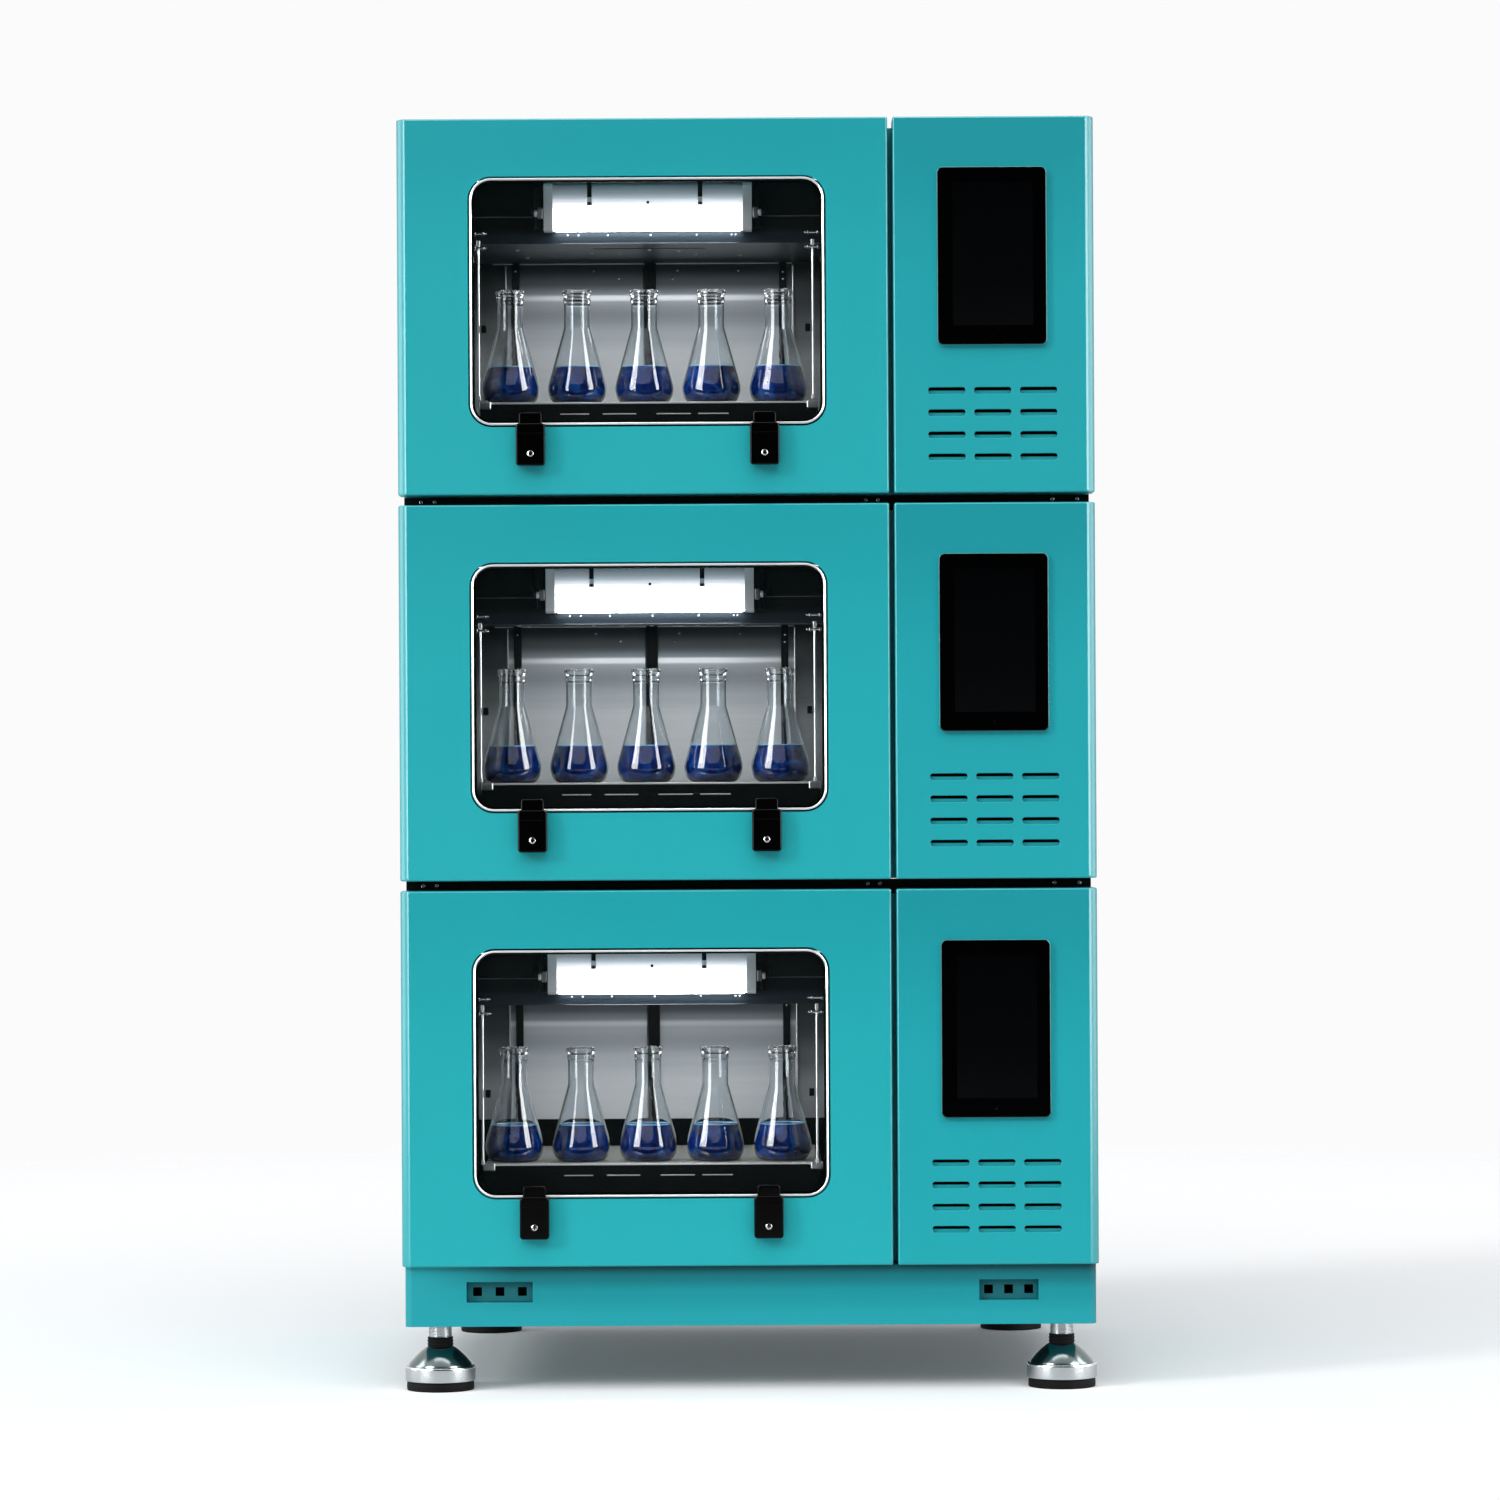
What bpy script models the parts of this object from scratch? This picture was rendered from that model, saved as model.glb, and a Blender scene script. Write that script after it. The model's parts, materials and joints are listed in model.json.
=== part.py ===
"""Three stacked incubated orbital shakers on one levelling plinth.

Metres, +Z up, the front faces -Y. The origin is on the floor, in the middle of the
footprint. Every unit is modelled once, with z counted from the bottom edge of its
door, and its meshes are then used by the three units of the stack.
"""

import math

import bmesh
import bpy
from mathutils import Matrix, Vector

# The stack
unit_names = ("lower", "middle", "upper")
unit_width = 0.907
unit_height = 0.489
unit_gap = 0.013
cabinet_depth = 0.783
cabinet_top_drop = 0.008
cabinet_side_inset = 0.004
seat_gap = 0.0003
cut_overrun = 0.004

# Door
door_thickness = 0.050
panel_gap = 0.0065
fascia_width = 0.2615
panel_side_radius = 0.012
panel_edge_bevel = 0.002
gasket_thickness = 0.004
gasket_width = 0.014
gasket_margin = 0.007

# Door hinge, inside the left edge of the door
hinge_edge_inset = 0.012
hinge_back_inset = 0.020
hinge_knuckle_radius = 0.008
hinge_knuckle_height = 0.030
hinge_arm_width = 0.010
hinge_pin_radius = 0.004
hinge_pin_reach = 0.010
hinge_pocket_reach = 0.0105
hinge_end_clearance = 0.001
hinge_end_inset = 0.075

# Window flap
window_left_margin = 0.095
window_right_margin = 0.083
window_top_margin = 0.0775
window_sill_height = 0.0905
window_radius = 0.028
window_clearance = 0.0024
window_back_clearance = 0.0015
frame_trim = 0.0085
frame_proud = 0.002
frame_depth = 0.012
frame_bevel = 0.0019
glass_thickness = 0.006
glass_front_set = 0.002
glass_grip = 0.005
reveal_step = 0.012
window_pin_set = 0.0032
window_pin_radius = 0.0015
window_pin_root = 0.022
window_pin_tip = 0.004

# Latches on the flap
latch_inset = 0.0785
latch_width = 0.036
latch_tab_width = 0.030
latch_top_rise = 0.0156
latch_drop = 0.0535
latch_front = 0.018
latch_back = 0.0035
latch_pin_out = 0.008
latch_pin_rise = 0.004
latch_pin_radius = 0.002
latch_pin_reach = 0.006
latch_slot_width = 0.012
latch_slot_drop = 0.008
latch_face_wall = 0.003
latch_corner_radius = 0.004
latch_relief_depth = 0.010
latch_lug_end = 0.0035
latch_screw_drop = 0.038
latch_screw_radius = 0.005
latch_screw_proud = 0.0006
keeper_radius = 0.004
keeper_height = 0.006
keeper_root = 0.002
keeper_clearance = 0.002

# Control fascia
fascia_wall = 0.003
screen_left_margin = 0.058
screen_right_margin = 0.0631
screen_top_margin = 0.066
screen_sill_height = 0.191
screen_proud = 0.007
screen_radius = 0.0065
screen_back_margin = 0.010
screen_back_depth = 0.018
vent_columns = 3
vent_rows = 4
vent_height = 0.0085
vent_end_radius = 0.0030
vent_left_margin = 0.0449
vent_right_margin = 0.0487
vent_column_gap = 0.0112
vent_first_height = 0.0461
vent_row_pitch = 0.0288
bay_margin = 0.014

# Cabinet
cabinet_skin = 0.003
cabinet_edge_radius = 0.004
partition_inset = 0.026
spacer_width = 0.040
spacer_inset = 0.004
louvre_rows = 4
louvre_width = 0.160
louvre_height = 0.014
louvre_pitch = 0.026
louvre_first_height = 0.100
louvre_side_inset = 0.060

# Chamber
liner_sheet = 0.002
liner_flange = 0.030
chamber_side_reach = 0.0195
chamber_floor_height = 0.075
chamber_top_margin = 0.045
machine_depth = 0.3796
back_panel_side_set = 0.0645
back_panel_gap = 0.011
back_panel_thickness = 0.002
back_panel_foot = 0.030
shaft_hole_radius = 0.027

# Plenum under the chamber ceiling
plenum_sheet = 0.002
plenum_front_set = 0.048
plenum_drop = 0.108
plenum_rise = 0.008
grille_slots = 5
grille_slot_width = 0.012
grille_slot_length = 0.110
grille_slot_pitch = 0.026

# Lamp on the front of the plenum
lamp_width_share = 0.5937
lamp_height = 0.065
lamp_depth = 0.0205
lamp_rise = 0.0144
lamp_edge_radius = 0.006

# Circulation fan
fan_radius = 0.085
fan_eye_radius = 0.050
fan_blades = 8
fan_blade_height = 0.036
fan_blade_thickness = 0.0025
fan_blade_sweep_deg = 35.0
fan_plate_thickness = 0.003
fan_hub_radius = 0.020
fan_hub_height = 0.024
fan_motor_radius = 0.034
fan_motor_height = 0.018
fan_shaft_radius = 0.004
fan_shaft_length = 0.020
running_clearance = 0.0006

# Shaking platform and its drive
platform_side_clearance = 0.027
platform_back_clearance = 0.0163
platform_rise = 0.051
platform_thickness = 0.0415
platform_rim = 0.012
platform_plate = 0.008
platform_front_set = 0.0471
platform_bevel = 0.002
bearing_boss_radius = 0.020
crank_throw = 0.013
crank_spacing_share = 0.336
crank_disc_radius = 0.038
crank_disc_thickness = 0.005
crank_disc_lift = 0.003
crank_hub_radius = 0.022
crank_hub_drop = 0.022
crank_socket_depth = 0.013
crank_pin_radius = 0.008
crank_pin_length = 0.014
weight_radius = 0.052
weight_spread_deg = 50.0
spindle_radius = 0.010
motor_radius = 0.070
motor_hub_gap = 0.0084
motor_edge_bevel = 0.004
base_end_margin = 0.090
base_depth = 0.200
base_thickness = 0.008
tower_radius = 0.026
tower_foot_radius = 0.034

# Plinth
plinth_side_inset = 0.0035
plinth_height = 0.078
plinth_front_set = 0.010
plinth_back_set = 0.012
plinth_wall = 0.004
plinth_front_wall = 0.018
plinth_corner_radius = 0.008
foot_block = 0.080
foot_block_height = 0.050
niche_height = 0.027
niche_depth = 0.012
niche_rise = 0.0447
left_niche_width = 0.086
left_niche_inset = 0.1265
right_niche_width = 0.077
right_niche_inset = 0.1174
niche_socket = 0.010
niche_socket_depth = 0.004
niche_socket_pitch_share = 0.34
niche_sockets = 3

# Levelling feet
foot_side_inset = 0.047
rear_foot_inset = 0.031
foot_front_set = 0.047
foot_back_set = 0.0499
pad_radius = 0.044
pad_height = 0.0117
pad_edge = 0.002
ring_radius = 0.0458
ring_height = 0.0195
cone_foot_radius = 0.0416
cone_height = 0.0247
bead_radius = 0.017
bead_height = 0.0130
stem_radius = 0.0156
stem_visible = 0.0160
stem_grip = 0.040
stem_clearance = 0.0006

# How nearly an edge runs along an axis to count as upright or level
along_axis = 0.9
across_axis = 0.5

# Fineness of round shapes: sides of a full turn, and steps of a quarter one
small_turn = 8
coarse_turn = 12
fine_turn = 20
corner_steps = 3
small_corner_steps = 2

# Places worked out from the sizes above
front_set = door_thickness + gasket_thickness + liner_sheet + 3 * seat_gap
front_reach = latch_front + latch_screw_proud
total_depth = front_reach + front_set + cabinet_depth
front_y = front_reach - total_depth / 2
cabinet_front_y = front_y + front_set
cabinet_back_y = cabinet_front_y + cabinet_depth
foot_height = pad_height + ring_height + cone_height + bead_height + stem_visible
plinth_top = foot_height + plinth_height
plinth_width = unit_width - 2 * plinth_side_inset
first_unit_z = plinth_top + seat_gap
unit_pitch = unit_height + unit_gap
cabinet_top = unit_height - cabinet_top_drop

unit_left = -unit_width / 2
unit_right = unit_width / 2
door_left = unit_left
fascia_left = unit_right - fascia_width
door_right = fascia_left - panel_gap
screen_width = fascia_width - screen_left_margin - screen_right_margin
screen_height = unit_height - screen_sill_height - screen_top_margin
vent_room = fascia_width - vent_left_margin - vent_right_margin + vent_column_gap
vent_pitch = vent_room / vent_columns
vent_width = vent_pitch - vent_column_gap

window_left = door_left + window_left_margin
window_right = door_right - window_right_margin
window_width = window_right - window_left
window_height = unit_height - window_sill_height - window_top_margin
window_x = (window_left + window_right) / 2
window_top = window_sill_height + window_height
window_z = window_sill_height + window_height / 2
door_hinge = Vector((door_left + hinge_edge_inset, front_y + door_thickness - hinge_back_inset, 0))
window_hinge = Vector((window_x, front_y + window_pin_set, window_top - window_pin_set))

liner_front_y = front_y + door_thickness + gasket_thickness + 2 * seat_gap
chamber_depth = cabinet_depth - machine_depth
chamber_width = window_width + 2 * chamber_side_reach
chamber_ceiling_height = unit_height - chamber_top_margin
chamber_front_y = liner_front_y
chamber_back_y = chamber_front_y + chamber_depth
chamber_left = window_x - chamber_width / 2
chamber_right = window_x + chamber_width / 2
back_panel_width = (chamber_width - back_panel_gap) / 2 - back_panel_side_set
plenum_front_height = chamber_ceiling_height - plenum_drop
lamp_width = window_width * lamp_width_share
lamp_base_height = plenum_front_height + lamp_rise

latch_z = window_sill_height + latch_pin_rise
latch_y = front_y - latch_pin_out
keeper_z = window_sill_height - latch_screw_drop

platform_width = chamber_width - 2 * platform_side_clearance
platform_depth = chamber_depth - platform_front_set - platform_back_clearance
platform_height = chamber_floor_height + platform_rise
platform_front_y = chamber_front_y + platform_front_set
platform_centre_y = platform_front_y + platform_depth / 2
platform_bottom = platform_height - platform_thickness
crank_y = platform_centre_y - crank_throw
disc_bottom = chamber_floor_height + crank_disc_lift
disc_top = disc_bottom + crank_disc_thickness
hub_bottom = disc_bottom - crank_hub_drop
spindle_top = hub_bottom + crank_socket_depth - seat_gap
crank_spacing = platform_width * crank_spacing_share
drive_x = window_x
idler_x = drive_x + crank_spacing
base_bottom = cabinet_skin + seat_gap
base_top = base_bottom + base_thickness
motor_bottom = base_top + seat_gap
motor_top = hub_bottom - motor_hub_gap
base_width = crank_spacing + 2 * base_end_margin

fan_y = chamber_front_y + chamber_depth / 2
fan_top = chamber_ceiling_height - fan_motor_height - seat_gap

# Colours of the finishes: red, green, blue, roughness, metallic
finishes = {
    "teal_enamel": (0.027, 0.375, 0.407, 0.38, 0.0),
    "door_enamel": (0.027, 0.375, 0.407, 0.38, 0.0),
    "dark_steel": (0.060, 0.070, 0.078, 0.30, 0.9),
    "brushed_steel": (0.55, 0.57, 0.58, 0.28, 1.0),
    "polished_steel": (0.80, 0.81, 0.82, 0.12, 1.0),
    "black_plastic": (0.010, 0.010, 0.011, 0.22, 0.0),
    "black_enamel": (0.012, 0.012, 0.013, 0.35, 0.0),
    "black_rubber": (0.015, 0.015, 0.015, 0.75, 0.0),
    "screen_glass": (0.004, 0.004, 0.005, 0.08, 0.0),
    "window_glass": (0.75, 0.82, 0.84, 0.03, 0.0),
    "lamp_diffuser": (0.95, 0.96, 0.97, 0.45, 0.0),
    "cast_aluminium": (0.42, 0.43, 0.44, 0.45, 1.0),
    "motor_grey": (0.12, 0.13, 0.14, 0.50, 0.6),
}


def clear_scene():
    for obj in list(bpy.data.objects):
        bpy.data.objects.remove(obj, do_unlink=True)


def make_finish(name):
    red, green, blue, roughness, metallic = finishes[name]
    made = bpy.data.materials.new(name)
    made.use_nodes = True
    shader = made.node_tree.nodes["Principled BSDF"]
    shader.inputs["Base Color"].default_value = (red, green, blue, 1.0)
    shader.inputs["Roughness"].default_value = roughness
    shader.inputs["Metallic"].default_value = metallic
    return made


def clear_radius(pin_radius, gap, sides):
    """Radius of a bore of so many sides in which a pin turns with this gap at the flats."""
    return (pin_radius + gap) / math.cos(math.pi / sides)


# Basic shapes, each a bmesh


def block(low, high):
    low, high = Vector(low), Vector(high)
    bm = bmesh.new()
    bmesh.ops.create_cube(bm, size=1)
    bmesh.ops.scale(bm, vec=high - low, verts=bm.verts)
    bmesh.ops.translate(bm, vec=(low + high) / 2, verts=bm.verts)
    return bm


def drum(centre, radius, bottom, top, sides, top_radius=None):
    """An upright cylinder, or a cone where top_radius differs."""
    bm = bmesh.new()
    bmesh.ops.create_cone(
        bm,
        cap_ends=True,
        segments=sides,
        radius1=radius,
        radius2=radius if top_radius is None else top_radius,
        depth=top - bottom,
    )
    bmesh.ops.translate(bm, vec=(centre[0], centre[1], (bottom + top) / 2), verts=bm.verts)
    return bm


def rod_along_x(start, end, radius, sides):
    """A cylinder between two points that differ in x only."""
    start, end = Vector(start), Vector(end)
    bm = bmesh.new()
    bmesh.ops.create_cone(
        bm, cap_ends=True, segments=sides, radius1=radius, radius2=radius, depth=end.x - start.x
    )
    bmesh.ops.rotate(bm, matrix=Matrix.Rotation(math.pi / 2, 3, "Y"), verts=bm.verts)
    bmesh.ops.translate(bm, vec=(start + end) / 2, verts=bm.verts)
    return bm


def rod_along_y(centre_x, centre_z, radius, front, back, sides):
    bm = bmesh.new()
    bmesh.ops.create_cone(
        bm, cap_ends=True, segments=sides, radius1=radius, radius2=radius, depth=back - front
    )
    bmesh.ops.rotate(bm, matrix=Matrix.Rotation(math.pi / 2, 3, "X"), verts=bm.verts)
    bmesh.ops.translate(bm, vec=(centre_x, (front + back) / 2, centre_z), verts=bm.verts)
    return bm


def slab_from_outline(outline, front, back):
    """Outline points (x, z) in the plane y = front, pulled back to y = back."""
    bm = bmesh.new()
    face = bm.faces.new([bm.verts.new((x, front, z)) for x, z in outline])
    pulled = bmesh.ops.extrude_face_region(bm, geom=[face])
    moved = [item for item in pulled["geom"] if isinstance(item, bmesh.types.BMVert)]
    bmesh.ops.translate(bm, vec=(0, back - front, 0), verts=moved)
    bmesh.ops.recalc_face_normals(bm, faces=bm.faces)
    return bm


def slab_along_x(outline, left, right):
    """Outline points (y, z) in the plane x = left, pulled across to x = right."""
    bm = bmesh.new()
    face = bm.faces.new([bm.verts.new((left, y, z)) for y, z in outline])
    pulled = bmesh.ops.extrude_face_region(bm, geom=[face])
    moved = [item for item in pulled["geom"] if isinstance(item, bmesh.types.BMVert)]
    bmesh.ops.translate(bm, vec=(right - left, 0, 0), verts=moved)
    bmesh.ops.recalc_face_normals(bm, faces=bm.faces)
    return bm


def slab_upright(outline, bottom, top):
    """Outline points (x, y) in the plane z = bottom, pulled up to z = top."""
    bm = bmesh.new()
    face = bm.faces.new([bm.verts.new((x, y, bottom)) for x, y in outline])
    pulled = bmesh.ops.extrude_face_region(bm, geom=[face])
    moved = [item for item in pulled["geom"] if isinstance(item, bmesh.types.BMVert)]
    bmesh.ops.translate(bm, vec=(0, 0, top - bottom), verts=moved)
    bmesh.ops.recalc_face_normals(bm, faces=bm.faces)
    return bm


def rounded_outline(centre_x, centre_z, width, height, radius, steps):
    """Corners counter-clockwise from the lower left, each an arc of the given steps."""
    reach_x, reach_z = width / 2 - radius, height / 2 - radius
    turns = ((-1, -1, 180), (1, -1, 270), (1, 1, 0), (-1, 1, 90))
    outline = []
    for side_x, side_z, start in turns:
        for step in range(steps + 1):
            angle = math.radians(start + 90 * step / steps)
            outline.append(
                (
                    centre_x + side_x * reach_x + radius * math.cos(angle),
                    centre_z + side_z * reach_z + radius * math.sin(angle),
                )
            )
    return outline


def rounded_slab(centre_x, centre_z, width, height, radius, front, back, steps=corner_steps):
    return slab_from_outline(
        rounded_outline(centre_x, centre_z, width, height, radius, steps), front, back
    )


def soften(bm, width, steps, chosen):
    """Bevels the edges for which chosen(middle, direction) is true."""
    edges = []
    for edge in bm.edges:
        middle = (edge.verts[0].co + edge.verts[1].co) / 2
        direction = (edge.verts[1].co - edge.verts[0].co).normalized()
        if edge.is_manifold and edge.calc_face_angle() > math.radians(20) and chosen(middle, direction):
            edges.append(edge)
    bmesh.ops.bevel(
        bm, geom=edges, offset=width, segments=steps, profile=0.5, affect="EDGES", material=-1
    )
    return bm


def turned(profile, centre, sides):
    """Spins (radius, height) points, from the bottom up, round the vertical through centre."""
    bm = bmesh.new()
    verts = [bm.verts.new((radius, 0, height)) for radius, height in profile]
    edges = [bm.edges.new(pair) for pair in zip(verts, verts[1:])]
    bmesh.ops.spin(
        bm,
        geom=verts + edges,
        cent=(0, 0, 0),
        axis=(0, 0, 1),
        angle=2 * math.pi,
        steps=sides,
        use_merge=True,
    )
    bmesh.ops.remove_doubles(bm, verts=bm.verts, dist=seat_gap / 10)
    bmesh.ops.recalc_face_normals(bm, faces=bm.faces)
    bmesh.ops.translate(bm, vec=(centre[0], centre[1], 0), verts=bm.verts)
    return bm


def gather(shapes):
    """Puts several separate shapes into one bmesh."""
    whole = bmesh.new()
    for shape in shapes:
        mesh = bpy.data.meshes.new("gathered")
        shape.to_mesh(mesh)
        shape.free()
        whole.from_mesh(mesh)
        bpy.data.meshes.remove(mesh)
    return whole


def temporary(shape, name):
    mesh = bpy.data.meshes.new(name)
    shape.to_mesh(mesh)
    shape.free()
    obj = bpy.data.objects.new(name, mesh)
    bpy.context.scene.collection.objects.link(obj)
    return obj


def combine(shape, cuts=(), joins=()):
    """Joins shapes to a shape, then cuts others from it, and returns the finished bmesh."""
    body = temporary(shape, "body")
    helpers = []
    for operation, tools in (("UNION", joins), ("DIFFERENCE", cuts)):
        for tool in tools:
            helper = temporary(tool, "tool")
            helper.hide_render = True
            helper.display_type = "WIRE"
            modifier = body.modifiers.new(operation.lower(), "BOOLEAN")
            modifier.operation = operation
            modifier.solver = "EXACT"
            modifier.object = helper
            helpers.append(helper)
    graph = bpy.context.evaluated_depsgraph_get()
    result = bmesh.new()
    result.from_object(body, graph)
    for obj in [body, *helpers]:
        mesh = obj.data
        bpy.data.objects.remove(obj)
        bpy.data.meshes.remove(mesh)
    return result


def finished_mesh(name, shape, pivot, finish, smooth=True):
    """A mesh whose own origin is the pivot point."""
    bmesh.ops.translate(shape, vec=-Vector(pivot), verts=shape.verts)
    mesh = bpy.data.meshes.new(name)
    shape.to_mesh(mesh)
    shape.free()
    mesh.materials.append(finish)
    if smooth:
        mesh.shade_smooth()
        mesh.set_sharp_from_angle(angle=math.radians(30))
    return mesh


# Door, gasket, window flap and latches


def panel_shape(left, right, thickness, outer_side):
    """A front panel whose outer vertical edge is rounded and whose other front edges are eased."""
    bm = block((left, front_y, 0), (right, front_y + thickness, unit_height))
    outer_x = left if outer_side < 0 else right

    def outer_edge(middle, direction):
        on_side = abs(middle.x - outer_x) < seat_gap and abs(middle.y - front_y) < seat_gap
        return on_side and abs(direction.z) > along_axis

    soften(bm, panel_side_radius, corner_steps, outer_edge)

    def front_edge(middle, direction):
        at_front = middle.y < front_y + panel_side_radius + seat_gap
        return at_front and abs(direction.z) < across_axis

    soften(bm, panel_edge_bevel, 1, front_edge)
    return bm


def hinge_heights():
    low = hinge_end_inset
    return (low, unit_height - low)


def door_shape():
    bm = panel_shape(door_left, door_right, door_thickness, -1)
    rebate = rounded_slab(
        window_x,
        window_z,
        window_width + 2 * window_clearance,
        window_height + 2 * window_clearance,
        window_radius + window_clearance,
        front_y - cut_overrun,
        front_y + frame_depth + window_back_clearance,
    )
    reveal = rounded_slab(
        window_x,
        window_z,
        window_width - 2 * reveal_step,
        window_height - 2 * reveal_step,
        window_radius - reveal_step,
        front_y,
        front_y + door_thickness + cut_overrun,
    )
    hinge_cuts = []
    for height in hinge_heights():
        half = hinge_knuckle_height / 2 + hinge_end_clearance
        hinge_cuts.append(
            block(
                (door_left - cut_overrun, door_hinge.y - hinge_pocket_reach, height - half),
                (
                    door_hinge.x + hinge_pocket_reach,
                    front_y + door_thickness + cut_overrun,
                    height + half,
                ),
            )
        )
        reach = hinge_knuckle_height / 2 + hinge_pin_reach + seat_gap
        bore = clear_radius(hinge_pin_radius, seat_gap, small_turn)
        hinge_cuts.append(drum(door_hinge, bore, height - reach, height + reach, small_turn))
    pin_cuts = []
    for side in (-1, 1):
        edge = window_x + side * window_width / 2
        inner = edge - side * window_pin_root
        outer = edge - side * (window_pin_tip - seat_gap)
        ends = sorted((inner, outer))
        pin_cuts.append(
            rod_along_x(
                (ends[0], window_hinge.y, window_hinge.z),
                (ends[1], window_hinge.y, window_hinge.z),
                window_pin_radius + seat_gap,
                small_turn,
            )
        )
    keepers = [
        rod_along_y(
            x, keeper_z, keeper_radius, front_y - keeper_height, front_y + keeper_root, small_turn
        )
        for x in latch_places()
    ]
    return combine(
        bm,
        joins=keepers,
        cuts=[rebate, reveal, *hinge_cuts, gather(pin_cuts)],
    )


def latch_places():
    return (window_left + latch_inset, window_right - latch_inset)


def ring_shape(width, height, radius, ring_width, front, back, centre_z, inner_radius, steps):
    outer = rounded_slab(window_x, centre_z, width, height, radius, front, back, steps)
    inner = rounded_slab(
        window_x,
        centre_z,
        width - 2 * ring_width,
        height - 2 * ring_width,
        inner_radius,
        front - cut_overrun,
        back + cut_overrun,
        steps,
    )
    return combine(outer, cuts=[inner])


def gasket_shape():
    chamber_height = chamber_ceiling_height - chamber_floor_height
    front = front_y + door_thickness + seat_gap
    return ring_shape(
        chamber_width + 2 * (gasket_margin + gasket_width),
        chamber_height + 2 * (gasket_margin + gasket_width),
        gasket_width + gasket_margin,
        gasket_width,
        front,
        front + gasket_thickness,
        (chamber_ceiling_height + chamber_floor_height) / 2,
        gasket_margin,
        small_corner_steps,
    )


def glass_size():
    margin = frame_trim - glass_grip + seat_gap
    return (window_width - 2 * margin, window_height - 2 * margin, window_radius - margin)


def glass_shape():
    width, height, radius = glass_size()
    front = front_y + glass_front_set
    return rounded_slab(window_x, window_z, width, height, radius, front, front + glass_thickness)


def frame_shape():
    outer = rounded_slab(
        window_x, window_z, window_width, window_height, window_radius,
        front_y - frame_proud, front_y + frame_depth,
    )
    face = front_y - frame_proud

    def front_rim(middle, direction):
        return abs(middle.y - face) < seat_gap

    soften(outer, frame_bevel, 1, front_rim)
    opening = rounded_slab(
        window_x, window_z,
        window_width - 2 * frame_trim, window_height - 2 * frame_trim, window_radius - frame_trim,
        face - cut_overrun, front_y + frame_depth + cut_overrun,
    )
    width, height, radius = glass_size()
    groove = rounded_slab(
        window_x, window_z,
        width + 2 * seat_gap, height + 2 * seat_gap, radius + seat_gap,
        front_y + glass_front_set - seat_gap, front_y + glass_front_set + glass_thickness + seat_gap,
    )
    joins = []
    for side in (-1, 1):
        edge = window_x + side * window_width / 2
        ends = sorted((edge - side * window_pin_root, edge - side * window_pin_tip))
        joins.append(
            rod_along_x(
                (ends[0], window_hinge.y, window_hinge.z),
                (ends[1], window_hinge.y, window_hinge.z),
                window_pin_radius, small_turn,
            )
        )
    lug_width = latch_slot_width - 2 * running_clearance
    for x in latch_places():
        joins.append(lug_shape(x, lug_width, face + frame_bevel))
        reach = lug_width / 2 + latch_pin_reach
        joins.append(
            rod_along_x(
                (x - reach, latch_y, latch_z), (x + reach, latch_y, latch_z),
                latch_pin_radius, small_turn,
            )
        )
    return combine(combine(outer, cuts=[opening, groove]), joins=joins)


def lug_shape(x, width, back):
    """A short arm that comes forward from the frame and ends round about the latch axis."""
    side = [(back, latch_z + latch_lug_end), (back, latch_z - latch_lug_end)]
    steps = 4
    for step in range(steps + 1):
        angle = math.radians(270 - 180 * step / steps)
        side.append(
            (latch_y + latch_lug_end * math.cos(angle), latch_z + latch_lug_end * math.sin(angle))
        )
    return slab_along_x(side, x - width / 2, x + width / 2)


def latch_outline(x):
    """The lever seen from the front: a straight grip that narrows to its tab."""
    bottom = window_sill_height - latch_drop
    top = window_sill_height + latch_top_rise
    half, tab_half = latch_width / 2, latch_tab_width / 2
    radius = latch_corner_radius
    half_right = []
    for step in range(small_corner_steps + 1):
        angle = math.radians(-90 + 90 * step / small_corner_steps)
        half_right.append((half - radius + radius * math.cos(angle), bottom + radius + radius * math.sin(angle)))
    half_right.append((half, window_sill_height))
    for step in range(small_corner_steps + 1):
        angle = math.radians(90 * step / small_corner_steps)
        half_right.append((tab_half - radius + radius * math.cos(angle), top - radius + radius * math.sin(angle)))
    right = [(x + across, height) for across, height in half_right]
    left = [(x - across, height) for across, height in reversed(half_right)]
    return right + left


def latch_shape(x):
    front, back = front_y - latch_front, front_y - latch_back
    lever = slab_from_outline(latch_outline(x), front, back)

    def front_rim(middle, direction):
        return abs(middle.y - front) < seat_gap

    soften(lever, panel_edge_bevel, 1, front_rim)
    screw = rod_along_y(
        x, keeper_z, latch_screw_radius, front - latch_screw_proud, front + latch_face_wall / 2, small_turn
    )
    slot = block(
        (x - latch_slot_width / 2, front + latch_face_wall, latch_z - latch_slot_drop),
        (x + latch_slot_width / 2, back + cut_overrun, window_sill_height + latch_top_rise + cut_overrun),
    )
    reach = latch_slot_width / 2 + latch_pin_reach
    bore = rod_along_x(
        (x - reach, latch_y, latch_z), (x + reach, latch_y, latch_z),
        latch_pin_radius + seat_gap, small_turn,
    )
    top = window_sill_height + latch_top_rise + cut_overrun
    relief = slab_along_x(
        (
            (back + cut_overrun, latch_z),
            (back, latch_z),
            (back - latch_relief_depth, top),
            (back + cut_overrun, top),
        ),
        x - latch_width,
        x + latch_width,
    )
    socket = rod_along_y(
        x, keeper_z, keeper_radius + keeper_clearance,
        front_y - keeper_height - keeper_clearance, back + cut_overrun, small_turn,
    )
    return combine(lever, joins=[screw], cuts=[slot, bore, relief, socket])


# Control fascia and touch screen


def screen_centre():
    return (
        fascia_left + screen_left_margin + screen_width / 2,
        screen_sill_height + screen_height / 2,
    )


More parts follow.
